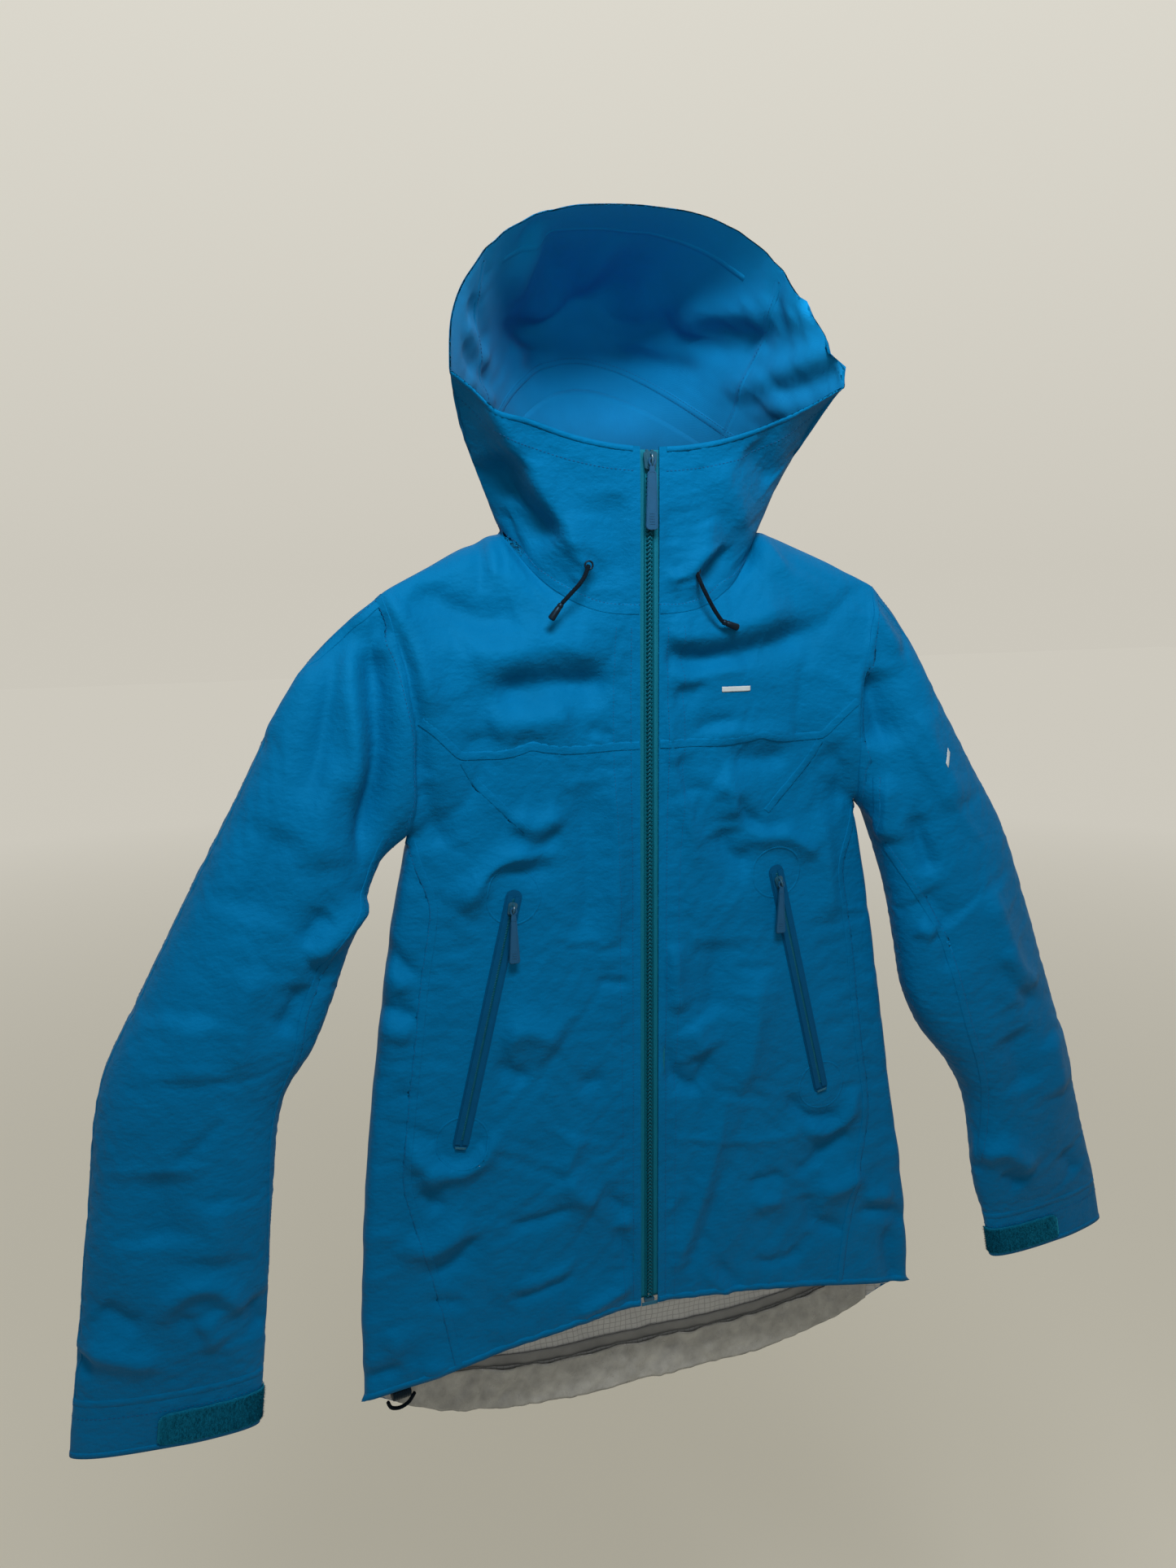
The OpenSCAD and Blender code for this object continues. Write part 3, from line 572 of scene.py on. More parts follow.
def mesh_object(name, points, faces, materials, face_slots=None, normals=None, flat=False):
    """Mesh from points in millimetres."""
    faces = np.asarray(faces)
    mesh = bpy.data.meshes.new(name)
    mesh.vertices.add(len(points))
    mesh.vertices.foreach_set("co", (np.asarray(points, float) * MM).ravel())
    mesh.loops.add(faces.size)
    mesh.loops.foreach_set("vertex_index", faces.ravel().astype(np.int32))
    mesh.polygons.add(len(faces))
    mesh.polygons.foreach_set("loop_start", np.arange(len(faces), dtype=np.int32) * faces.shape[1])
    mesh.update(calc_edges=True)
    for m in materials:
        mesh.materials.append(m)
    mesh.polygons.foreach_set("use_smooth", np.full(len(faces), not flat))
    if face_slots is not None:
        mesh.polygons.foreach_set("material_index", np.asarray(face_slots, np.int32))
    mesh.update()
    if normals is not None:
        mesh.normals_split_custom_set_from_vertices(np.asarray(normals).tolist())
    return linked(name, mesh)


def linked(name, data):
    """New object in the scene."""
    obj = bpy.data.objects.new(name, data)
    bpy.context.scene.collection.objects.link(obj)
    return obj


def turn_outward(obj):
    bm = bmesh.new()
    bm.from_mesh(obj.data)
    bmesh.ops.recalc_face_normals(bm, faces=bm.faces)
    bm.to_mesh(obj.data)
    bm.free()


def sheet_object(name, front, back, shape, material):
    """Closed thin sheet between two grids of points."""
    faces = sheet_faces(grid_faces(*shape), len(front))
    obj = mesh_object(name, np.concatenate([front, back]), faces, [material])
    turn_outward(obj)
    return obj


class Cloth:
    """All the cloth grids as one point list, with shared border points welded."""

    def __init__(self, grids):
        self.grids = {}
        self.faces = {}
        points = []
        start = 0
        for name, (grid, ring, flip) in grids.items():
            rows, cols = grid.shape[:2]
            self.grids[name] = (start, rows, cols, ring, flip)
            self.faces[name] = grid_faces(rows, cols, ring, flip) + start
            points.append(grid.reshape(-1, 3))
            start += rows * cols
        self.points = np.concatenate(points)
        key = np.round(self.points / 0.02).astype(np.int64)
        _, first, back = np.unique(key, axis=0, return_index=True, return_inverse=True)
        self.unique = first                 # one point index for each welded point
        self.back = back.ravel()            # welded point of each point

    def all_faces(self):
        return self.back[np.concatenate(list(self.faces.values()))]

    def normals(self):
        return vertex_normals(self.points[self.unique], self.all_faces())[self.back]

    def spread(self, welded):
        self.points = welded[self.back]

    def weld(self):
        """Bring the points of shared borders together again."""
        self.spread(self.points[self.unique])

    def grid(self, name, values=None):
        start, rows, cols = self.grids[name][:3]
        values = self.points if values is None else values
        return values[start:start + rows * cols].reshape(rows, cols, -1)

    def part(self, name):
        start, rows, cols = self.grids[name][:3]
        return slice(start, start + rows * cols)


def finer(grid, ring):
    """The grid with a cubic midpoint between every two rows and every two columns."""
    def along_rows(g, closed):
        if closed:
            a, b, c, d = np.roll(g, 1, 0), g, np.roll(g, -1, 0), np.roll(g, -2, 0)
            out = np.empty((2 * len(g),) + g.shape[1:])
        else:
            b, c = g[:-1], g[1:]
            a = np.concatenate([2 * g[:1] - g[1:2], g[:-2]])
            d = np.concatenate([g[2:], 2 * g[-1:] - g[-2:-1]])
            out = np.empty((2 * len(g) - 1,) + g.shape[1:])
        out[0::2] = g
        out[1::2] = (9 * (b + c) - a - d) / 16
        return out
    wide = along_rows(np.swapaxes(grid, 0, 1), ring)
    return along_rows(np.swapaxes(wide, 0, 1), False)


# ---------------------------------------------------------------- folding
def segment_gap(points, start, end):
    """Distance of points from a straight stretch, and their place along it from 0 to 1."""
    way = end - start
    t = np.clip(((points - start) @ way) / (way @ way), 0, 1)
    return np.linalg.norm(points - start - t[:, None] * way, axis=1), t


def press(cloth, name, facing, folds, finest, widest):
    """Push the cloth of one grid along its normals under each fold. Folds narrower than
    finest or at least as wide as widest are left for another pass."""
    part = cloth.part(name)
    points = cloth.points[part]
    normals = cloth.normals()[part]
    seen = smooth(facing * normals[:, 1] * 3)
    for wide, high, places in folds:
        if not finest <= wide < widest:
            continue
        line = curve(places, max(3.0, wide / 2))
        low, top = line.min(0) - 3 * wide, line.max(0) + 3 * wide
        near = np.nonzero((seen > 0) & (points[:, 0] > low[0]) & (points[:, 0] < top[0])
                          & (points[:, 2] > low[1]) & (points[:, 2] < top[1]))[0]
        if not len(near):
            continue
        p = points[near][:, [0, 2]]
        best = np.full(len(p), 1e9)
        share = np.zeros(len(p))
        for k in range(len(line) - 1):
            gap, t = segment_gap(p, line[k], line[k + 1])
            closer = gap < best
            best[closer] = gap[closer]
            share[closer] = ((k + t) / (len(line) - 1))[closer]
        fade = smooth(share / 0.3 + 0.25) * smooth((1 - share) / 0.3 + 0.25)
        push = high * np.exp(-(best / wide) ** 1.4) * fade * seen[near]
        points[near] += push[:, None] * normals[near]
    cloth.weld()


def stronger(folds, amount):
    return [(wide, high * amount, places) for wide, high, places in folds]


def press_all(cloth, finest, widest):
    on_right = [fold for fold in FRONT_FOLDS if fold[2][0][0] > 0]
    on_left = [fold for fold in FRONT_FOLDS if fold[2][0][0] <= 0]
    for name, facing, folds, strength in (
            ("front_right", -1, on_right, 1.6), ("front_left", -1, on_left, 1.6),
            ("hood", -1, HOOD_FRONT_FOLDS, 1.4), ("hood", 1, HOOD_BACK_FOLDS, 1.5),
            ("sleeve_left", -1, SLEEVE_LEFT_FOLDS, 1.5), ("sleeve_right", -1, SLEEVE_RIGHT_FOLDS, 1.5)):
        press(cloth, name, facing, stronger(folds, strength), finest, widest)


def simulate(cloth, hold):
    """Let the cloth, cut slightly larger than its space, buckle between the seams that hold it."""
    points = cloth.points[cloth.unique]
    obj = mesh_object("moving_cloth", points, cloth.all_faces(), [])
    group = obj.vertex_groups.new(name="hold")
    weights = np.zeros(len(points))
    np.maximum.at(weights, cloth.back, hold)
    steps = np.round(weights * 20).astype(int)
    for step in np.unique(steps):
        group.add(np.nonzero(steps == step)[0].tolist(), step / 20, "REPLACE")
    mod = obj.modifiers.new("cloth", "CLOTH")
    s = mod.settings
    s.quality = 5
    s.mass = 0.12
    s.tension_stiffness = s.compression_stiffness = 20
    s.shear_stiffness = 12
    s.bending_stiffness = 4
    s.shrink_min = -0.005
    s.pin_stiffness = 0.5
    s.vertex_group_mass = "hold"
    s.effector_weights.gravity = 0.25
    mod.collision_settings.use_collision = False
    scene = bpy.context.scene
    scene.frame_start, scene.frame_end = 1, SIM_FRAMES
    for f in range(1, SIM_FRAMES + 1):
        scene.frame_set(f)
    done = obj.evaluated_get(bpy.context.evaluated_depsgraph_get()).data
    moved = np.empty(len(points) * 3)
    done.vertices.foreach_get("co", moved)
    scene.frame_set(1)
    bpy.data.objects.remove(obj)
    cloth.spread(moved.reshape(-1, 3) / MM)


def make_cloth():
    front, back = body_grid(-1), body_grid(1)
    front_left, back_left = mirrored(front), mirrored(back)
    for grid in (front, back, front_left, back_left):
        lean(grid)
    hood_right = hood_half(front, back, RIM_RIGHT)
    hood_left = mirrored(hood_half(mirrored(front_left), mirrored(back_left), RIM_LEFT))
    sleeve_left = sleeve_grid(SLEEVE_LEFT, mirrored(front_left), mirrored(back_left))
    return Cloth({
        "front_right": (front, False, False),
        "front_left": (front_left, False, True),
        "back": (np.concatenate([back_left[:, :0:-1], back], axis=1), False, True),
        "hood": (np.concatenate([hood_right, hood_left[:, -2::-1]], axis=1), False, True),
        "sleeve_right": (sleeve_grid(SLEEVE_RIGHT, front, back), True, False),
        "sleeve_left": (mirrored(sleeve_left), True, True)})


def holding(cloth):
    """How firmly each point is held while the cloth buckles: 1 is fixed."""
    hold = np.full(len(cloth.points), 0.4)

    def grid(name):
        start, rows, cols = cloth.grids[name][:3]
        return hold[start:start + rows * cols].reshape(rows, cols)
    for name in ("front_right", "front_left", "back"):
        g = grid(name)
        g[0] = 1
        g[-1] = 0.7
    for name in ("front_right", "front_left"):
        grid(name)[:, :2] = 1
    for name in ("sleeve_right", "sleeve_left"):
        g = grid(name)
        g[:] = 0.5
        g[0] = 1
        g[-6:] = 0.9
    hood = grid("hood")
    hood[0] = 1
    hood[-1] = 0.8
    hood[:, :2] = 1
    hood[:, -2:] = 1
    return hold


def finer_cloth(cloth):
    grids = {name: (finer(cloth.grid(name), ring), ring, flip)
             for name, (_, _, _, ring, flip) in cloth.grids.items()}
    right, left, back = grids["front_right"][0], grids["front_left"][0], grids["back"][0]
    half = back.shape[1] // 2
    neck, arm = 2 * NECK_COLS, 2 * ARM_ROWS
    back[0, half + neck:] = right[0, neck:]
    back[0, half - neck::-1] = left[0, neck:]
    hood = grids["hood"][0]
    around = hood.shape[1] // 2
    hood[0, :neck + 1] = right[0, :neck + 1]
    hood[0, :-neck - 2:-1] = left[0, :neck + 1]
    hood[0, around] = back[0, half]
    hood[0, neck:around] = back[0, half + neck:half:-1]
    hood[0, around + 1:-neck] = back[0, half - 1:half - neck - 1:-1]
    grids["sleeve_right"][0][0] = np.concatenate([right[arm:0:-1, -1], back[0:arm, -1]])
    grids["sleeve_left"][0][0] = np.concatenate([left[arm:0:-1, -1], back[0:arm, 0]])
    return Cloth(grids)


def crinkle(cloth):
    """Small uneven waves, stronger low on the body and weaker on the sleeves, with puckers beside the zip.
    """
    normals = cloth.normals()
    p = cloth.points
    waves = (soft_noise(p, 70, 1) * 0.8 + soft_noise(p, 30, 2) * 0.2
             + soft_noise(p * [1, 1, 1.6], 13, 3) * 0.06)
    creases = np.abs(soft_noise(p, 62, 8)) ** 0.8 + 0.35 * np.abs(soft_noise(p, 27, 9))
    waves -= 2.6 * (creases - creases.mean())
    lower = smooth((-420 - p[:, 2]) / 150) * (np.abs(p[:, 0]) < 262)
    amount = 0.48 + 0.6 * lower
    for name in ("sleeve_right", "sleeve_left"):
        amount[cloth.part(name)] *= 0.6
    for name in ("front_right", "front_left"):
        start, rows, cols = cloth.grids[name][:3]
        near_zip = np.zeros((rows, cols))
        near_zip[:, 1:12] = np.sin(np.linspace(0, np.pi, 11))
        pucker = np.sin(p[cloth.part(name), 2] / 1.9 + 2.5 * soft_noise(p[cloth.part(name)], 30, 5))
        pucker *= 0.35 * near_zip.ravel() * (0.6 + 0.4 * soft_noise(p[cloth.part(name)], 40, 6))
        waves[cloth.part(name)] += pucker
    cloth.points = p + (waves * amount)[:, None] * normals
    cloth.weld()


# Places where the cloth keeps its plain shape, with their radius: behind the hood's cord lock
# and beside the hem's
REAR_LOCK = np.mean(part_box("hood_rear_toggle"), axis=0) / MM
KEPT_SPOTS = ((REAR_LOCK - [0, 6.5, 0], 16), (np.array([-208, -62, -694]), 12))


def flatten_cloth():
    """Hold the cloth flat beside the zip and under the welded pocket tapes and the chest mark."""
    for side, sign in SIDES:
        part = cloth.part("front_" + side)
        p = cloth.points[part]
        seen = np.stack([p[:, 0] * sign, p[:, 2]], -1)
        gap, _ = segment_gap(seen, np.array(POCKET_TOP, float), np.array(POCKET_LOW))
        weight = smooth((24 - gap) / 15)
        if sign > 0:
            mark = np.hypot(np.maximum(np.abs(p[:, 0] - CHEST_MARK[0]) - 14, 0),
                            np.maximum(np.abs(p[:, 2] - CHEST_MARK[1]) - 4, 0))
            weight = np.maximum(weight, smooth((18 - mark) / 16))
        p = p.copy()
        p[:, 1] = mix(p[:, 1], FRONT_Y + 0.1, weight)
        cloth.points[part] = p
    p = smooth_points
    weight = (smooth((18 - np.abs(p[:, 0])) / 8) * (p[:, 1] < -60) * (p[:, 2] < CHIN_Z + 20))[:, None]
    cloth.points = mix(cloth.points, smooth_points, weight)
    for spot, radius in KEPT_SPOTS:
        weight = smooth((radius + 22 - np.linalg.norm(smooth_points - spot, axis=1)) / 20)[:, None]
        cloth.points = mix(cloth.points, smooth_points, weight)
    cloth.weld()


def flatness(points, faces):
    """1 where the cloth is flat about a point, less where it is folded sharply."""
    face_normals = cross_of_corners(points, faces)
    total, size = np.zeros_like(points), np.zeros(len(points))
    for k in range(4):
        np.add.at(total, faces[:, k], face_normals)
        np.add.at(size, faces[:, k], np.linalg.norm(face_normals, axis=1))
    return np.linalg.norm(total, axis=1) / np.maximum(size, 1e-9)


def ease_sharp_folds(cloth, passes=5):
    """Open out folds that are sharper than the cloth is thick. Open edges stay as they are."""
    points, faces = cloth.points[cloth.unique], cloth.all_faces()
    edges, border = mesh_edges(faces, len(points))
    both = np.concatenate([edges, edges[:, ::-1]])
    count = np.bincount(both[:, 0], minlength=len(points))
    for _ in range(passes):
        folded = smooth((0.985 - flatness(points, faces)) / 0.04)
        np.maximum.at(folded, both[:, 0], 0.7 * folded[both[:, 1]])
        folded[border.ravel()] = 0
        beside = np.stack([np.bincount(both[:, 0], points[both[:, 1], k], len(points))
                           for k in range(3)], -1)
        points = mix(points, beside / count[:, None], 0.8 * folded[:, None])
    cloth.spread(points)


cloth = make_cloth()
smooth_points = finer_cloth(cloth).points
press_all(cloth, 9, 99)
simulate(cloth, holding(cloth))
cloth = finer_cloth(cloth)
press_all(cloth, 0, 9)
crinkle(cloth)
ease_sharp_folds(cloth)
flatten_cloth()
NORMALS = cloth.normals()


# ---------------------------------------------------------------- materials
class Nodes:
    """Short ways to wire one material."""

    def __init__(self, name, color, rough, specular=0.3, sheen=0.0, metallic=0.0):
        self.material = bpy.data.materials.new(name)
        self.material.use_nodes = True
        self.material.diffuse_color = (*color, 1)
        self.tree = self.material.node_tree
        self.shader = self.tree.nodes["Principled BSDF"]
        self.set("Base Color", (*color, 1))
        self.set("Roughness", rough)
        self.set("Specular IOR Level", specular)
        self.set("Sheen Weight", sheen)
        self.set("Metallic", metallic)
        self.color, self.rough = color, rough
        self.place = self.tree.nodes.new("ShaderNodeTexCoord").outputs["Object"]
        self.height = None

    def set(self, socket, value):
        self.shader.inputs[socket].default_value = value

    def link(self, a, b):
        self.tree.links.new(a, b)

    def math(self, kind, a, b=0.5):
        n = self.tree.nodes.new("ShaderNodeMath")
        n.operation = kind
        for socket, value in zip(n.inputs, (a, b)):
            if isinstance(value, (int, float)):
                socket.default_value = value
            else:
                self.link(value, socket)
        return n.outputs[0]

    def noise(self, size_mm, detail=3.0, stretch=(1, 1, 1)):
        m = self.tree.nodes.new("ShaderNodeMapping")
        m.inputs["Scale"].default_value = stretch
        self.link(self.place, m.inputs["Vector"])
        n = self.tree.nodes.new("ShaderNodeTexNoise")
        n.inputs["Scale"].default_value = 1000 / size_mm
        n.inputs["Detail"].default_value = detail
        self.link(m.outputs[0], n.inputs["Vector"])
        return n.outputs["Fac"]

    def axes(self):
        n = self.tree.nodes.new("ShaderNodeSeparateXYZ")
        self.link(self.place, n.inputs[0])
        return self.math("ADD", n.outputs[0], n.outputs[1]), n.outputs[2]

    def threads(self, pitch_mm):
        """Plain weave: two crossing sets of threads."""
        across, up = self.axes()
        turn = 2 * math.pi / (pitch_mm * MM)
        a = self.math("SINE", self.math("MULTIPLY", across, turn))
        b = self.math("SINE", self.math("MULTIPLY", up, turn))
        return self.math("MULTIPLY", a, b)

    def grid_lines(self, pitch_mm, width):
        """1 on the crossing lines of a ripstop grid."""
        lines = []
        for axis in self.axes():
            part = self.math("FRACT", self.math("MULTIPLY", axis, 1000 / pitch_mm))
            lines.append(self.math("LESS_THAN", part, width))
        return self.math("MAXIMUM", *lines)

    def tint(self, fac, low, high):
        """Base colour from low to high times itself, by a 0 to 1 value."""
        ramp = self.tree.nodes.new("ShaderNodeMix")
        ramp.data_type = "RGBA"
        ramp.clamp_factor = True
        ramp.inputs[6].default_value = (*[c * low for c in self.color], 1)
        ramp.inputs[7].default_value = (*[min(1, c * high) for c in self.color], 1)
        self.link(fac, ramp.inputs[0])
        self.link(ramp.outputs[2], self.shader.inputs["Base Color"])

    def vary_rough(self, fac, spread):
        scaled = self.math("MULTIPLY", fac, spread)
        self.link(self.math("ADD", scaled, self.rough - spread / 2), self.shader.inputs["Roughness"])

    def bump(self, value, depth_mm):
        n = self.tree.nodes.new("ShaderNodeBump")
        n.inputs["Distance"].default_value = depth_mm * MM
        self.link(value, n.inputs["Height"])
        if self.height:
            self.link(self.height, n.inputs["Normal"])
        self.height = n.outputs[0]
        self.link(self.height, self.shader.inputs["Normal"])


def cool_gloss(material):
    """Highlights without the warm tint of the floor."""
    shader = material.node_tree.nodes["Principled BSDF"]
    shader.inputs["Specular Tint"].default_value = (0.25, 0.6, 1, 1)
    return material


def shell_fabric():
    m = Nodes("shell_fabric", (0.0, 0.08, 0.2), 0.62, specular=0.2, sheen=0.03)
    m.set("Sheen Tint", (0.05, 0.5, 1, 1))
    m.set("Specular Tint", (0.05, 0.55, 1, 1))
    mottle = m.noise(38, 5)
    m.tint(mottle, 0.84, 1.16)
    m.vary_rough(m.noise(9, 4), 0.16)
    m.bump(m.noise(24, 5), 2.3)
    m.bump(m.noise(6, 4, (1, 1, 1.7)), 0.65)
    m.bump(m.noise(1.1, 2), 0.09)
    m.bump(m.threads(0.8), 0.03)
    return m.material


def hood_lining():
    """Painted light and shade: lighter toward the brim, where light reaches in, and darker low in the hood,
    where shade falls.
    """
    m = Nodes("hood_lining", (0.0, 0.115, 0.28), 0.8, specular=0.08, sheen=0.02)
    # Painted light and shade by height: the colour runs from dark low in the hood to pale high up.
    high = m.math("MULTIPLY", m.math("SUBTRACT", m.axes()[1], 0.05), 6)
    m.tint(m.math("ADD", high, m.math("MULTIPLY", m.noise(30, 4), 0.15)), 0.3, 2.1)
    m.bump(m.noise(9, 4), 0.3)
    m.bump(m.threads(1.0), 0.04)
    return m.material


def collar_cloth():
    # Dark brushed lining; part of its darkness is painted shade, standing in for the shade low inside the
    # hood.
    m = Nodes("collar_lining", (0.0, 0.035, 0.085), 0.9, specular=0.05, sheen=0.05)
    m.tint(m.noise(20, 4), 0.8, 1.2)
    m.bump(m.noise(2.2, 4), 0.15)
    m.bump(m.noise(9, 4), 0.4)
    return m.material


def shell_lining():
    m = Nodes("shell_lining", (0.42, 0.43, 0.43), 0.6, specular=0.3, sheen=0.2)
    lines = m.grid_lines(5, 0.14)
    m.tint(lines, 1.0, 0.72)
    m.bump(lines, 0.12)
    m.bump(m.noise(14, 4), 0.5)
    m.bump(m.threads(0.7), 0.03)
    return m.material


def facing_film():
    # The grey is raised to make up for the shade under the hem (painted light).
    m = Nodes("facing_film", (0.27, 0.272, 0.258), 0.3, specular=0.7)
    # Light and dark patches at random, strong enough to stand in for the highlights and shade on the crushed
    # film's creases (painted highlights and shade).
    m.tint(m.noise(11, 5), 0.5, 1.5)
    m.vary_rough(m.noise(8, 3), 0.2)
    m.bump(m.noise(7, 5, (1.4, 1, 0.8)), 1.4)
    m.bump(m.noise(2, 3), 0.15)
    return m.material


def woven(name, color, rough, pitch, tint=0.2, specular=0.25, depth=0.06):
    m = Nodes(name, color, rough, specular=specular)
    m.tint(m.noise(4, 3), 1 - tint, 1 + tint)
    m.bump(m.threads(pitch), depth)
    m.bump(m.noise(2.5, 3), 0.05)
    return m.material


def moulded(name, color, rough, specular=0.5, grain=0.03):
    m = Nodes(name, color, rough, specular=specular)
    m.tint(m.noise(6, 4), 0.85, 1.15)
    m.vary_rough(m.noise(3, 4), 0.15)
    m.bump(m.noise(0.8, 2), grain)
    return m.material


def zip_tape_fabric():
    m = Nodes("zip_tape", (0.0, 0.09, 0.145), 0.7, specular=0.1)
    across, up = m.axes()
    ribs = m.math("SINE", m.math("MULTIPLY", across, 2 * math.pi / (1.3 * MM)))
    weft = m.math("SINE", m.math("MULTIPLY", up, 2 * math.pi / (0.7 * MM)))
    # Rib tops are tinted lighter and the hollows between them darker, following the bump: painted shade in
    # the hollows.
    m.tint(m.math("ADD", m.math("MULTIPLY", ribs, 0.3), 0.5), 0.8, 1.2)
    m.bump(ribs, 0.06)
    m.bump(weft, 0.03)
    return m.material


def pile_fuzz():
    m = Nodes("loop_pile", (0.0, 0.062, 0.12), 0.95, specular=0.05, sheen=0.4)
    m.set("Sheen Tint", (0.04, 0.6, 0.8, 1))
    m.tint(m.noise(1.6, 4), 0.5, 1.6)
    m.bump(m.noise(1.2, 3), 0.3)
    return m.material


SHELL = shell_fabric()
HOOD_IN_PAINTED_LIGHT = hood_lining()
COLLAR_IN_DARK_AND_SHADED = collar_cloth()
LINING = shell_lining()
FACING_WITH_PAINTED_LIGHT = facing_film()
THREAD = woven("thread", (0.0, 0.055, 0.16), 0.7, 0.4)
SEAM_TAPE = moulded("seam_tape", (0.16, 0.165, 0.165), 0.45)
ZIP_TAPE_WITH_RIB_SHADE = zip_tape_fabric()
ZIP_COIL = cool_gloss(moulded("zip_coil", (0.0, 0.06, 0.09), 0.42, specular=0.3))
ZIP_SLIDER = moulded("zip_slider", (0.004, 0.05, 0.09), 0.32)
PULL_TAB = moulded("pull_tab", (0.0, 0.045, 0.11), 0.5, specular=0.3)
ZIP_END = woven("zip_end", (0.01, 0.09, 0.15), 0.6, 0.5)
WELT = cool_gloss(moulded("pocket_welt", (0.0, 0.042, 0.11), 0.55, specular=0.15, grain=0.05))
BAG = woven("pocket_bag", (0.04, 0.2, 0.33), 0.8, 1.2, depth=0.1)
PILE = pile_fuzz()
CORD = cool_gloss(woven("cord", (0.003, 0.005, 0.008), 0.75, 0.9, specular=0.12, depth=0.12))
CORD_END = cool_gloss(moulded("cord_end", (0.003, 0.005, 0.008), 0.4, specular=0.25))
TOGGLE = cool_gloss(moulded("toggle", (0.004, 0.006, 0.009), 0.45, specular=0.25))
REFLECTIVE = moulded("reflective", (0.3, 0.34, 0.36), 0.35)


# ---------------------------------------------------------------- panels
SPOTS = cloth.points[cloth.unique]
SPOT_NORMALS = vertex_normals(SPOTS, cloth.all_faces())
SPOT_DEPTH = np.clip((flatness(SPOTS, cloth.all_faces()) - 0.9) / 0.08, 0.3, 1)     # less in sharp folds
U_COLS = half_shares(ZIP_U, 2)
U_COLS_BACK = half_shares(0, 2)


def at_faces(name):
    """Row and column of the middle of each face of a grid."""
    _, rows, cols, ring, _ = cloth.grids[name]
    j, i = np.meshgrid(np.arange(rows - 1), np.arange(cols if ring else cols - 1), indexing="ij")
    return (j + 0.5).ravel(), (i + 0.5).ravel()


def row_height(row, u, side):
    """Height of a row of the finer grid."""
    row = row / 2
    top = mix(top_line(u, side), UNDERARM_Z, row / ARM_ROWS)
    low = mix(UNDERARM_Z, hem_line(u, side), (row - ARM_ROWS) / BODY_ROWS)
    return np.where(row < ARM_ROWS, top, low)


def body_places(name):
    """Share of the half width, height, and column from the middle of each face of a body grid."""
    row, col = at_faces(name)
    side, shares = (1, U_COLS_BACK) if name == "back" else (-1, U_COLS)
    if name == "back":
        col = col - (len(shares) - 1)
    u = np.interp(np.abs(col), np.arange(len(shares)), shares)
    return u, row_height(row, u, side), col


def closed_sheet(name, faces, materials):
    """A panel with an outer face, an inner face and a rim."""
    used, index = np.unique(faces, return_inverse=True)
    index = index.reshape(faces.shape)
    outer, normals = SPOTS[used], SPOT_NORMALS[used]
    inner = outer - CLOTH * SPOT_DEPTH[used, None] * normals
    all_faces = sheet_faces(index, len(used))
    slots = np.zeros(len(all_faces))
    slots[len(index):2 * len(index)] = 1
    return mesh_object(name, np.concatenate([outer, inner]), all_faces, materials, slots,
                       np.concatenate([normals, -normals]))


def in_frame(obj, body, node=None):
    """Give a piece its body and, if it stands for a CAD node, hide that node's part."""
    if node:
        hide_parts(node)
    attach(obj, body)


def panel(node, faces, inside=None):
    """The seen panel that stands for a CAD node."""
    obj = closed_sheet(node + "_cloth", faces, [SHELL, inside or LINING])
    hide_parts(node)
    return obj


def on_arm(obj):
    """Bake the piece's transform into its mesh."""
    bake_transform(obj)


def arm_row(side, section):
    """Row of the sleeve's grid at a place in its list of sections."""
    run = section_run(SLEEVES[side])
    share = np.interp(section, np.arange(len(run)), run) / run[-1]
    return share * (cloth.grids["sleeve_" + side][1] - 1)


def cuff_row(side):
    """Row where the cuff starts."""
    return arm_row(side, len(SLEEVES[side]) - 2)


def body_panels():
    back_u, back_z, back_col = body_places("back")
    back_faces = cloth.back[cloth.faces["back"]]
    upper = back_z > BACK_SEAM_Z
    beside = (back_z < UNDERARM_Z) & (back_u > table(BACK_SEAMS, back_z))
    cut = [("back_yoke", back_faces[upper]), ("back_panel", back_faces[~upper & ~beside])]
    for side, sign in SIDES:
        u, z, _ = body_places("front_" + side)
        faces = cloth.back[cloth.faces["front_" + side]]
        yoke = z > chest_line(u)
        rim = (z < UNDERARM_Z) & (u > table(SIDE_SEAMS, z))
        wrap = np.concatenate([faces[rim], back_faces[beside & (back_col * sign > 0)]])
        cut += [("front_yoke_" + side, faces[yoke]), ("front_panel_" + side, faces[~yoke & ~rim]),
                ("side_panel_" + side, wrap)]
    for node, part in cut:
        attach(panel(node, part), "shell")


def hood_panels():
    row, col = at_faces("hood")
    _, rows, cols = cloth.grids["hood"][:3]
    around = (cols - 1) / 2
    turn = 180 * col / around
    up = row / (rows - 1)
    faces = cloth.back[cloth.faces["hood"]]
    middle = np.abs(turn - 180) < 180 - HOOD_SEAM_TURN
    brim = middle & (up > BRIM_START)
    for node, pick in (("hood_side_right", ~middle & (turn < 180)),
                       ("hood_side_left", ~middle & (turn > 180)),
                       ("hood_center", middle & ~brim), ("hood_brim", brim)):
        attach(panel(node, faces[pick], HOOD_IN_PAINTED_LIGHT), "shell")


def sleeve_panels():
    for side, _ in SIDES:
        name = "sleeve_" + side
        row, col = at_faces(name)
        angle = 360 * col / cloth.grids[name][2]
        faces = cloth.back[cloth.faces[name]]
        cuff = row > cuff_row(side)
        back = (angle > SEAM_ANGLES[0]) & (angle < SEAM_ANGLES[1])
        on_arm(panel("sleeve_front_" + side, faces[~cuff & ~back]))
        on_arm(panel("sleeve_back_" + side, faces[~cuff & back]))
        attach(panel("cuff_" + side, faces[cuff]), name)


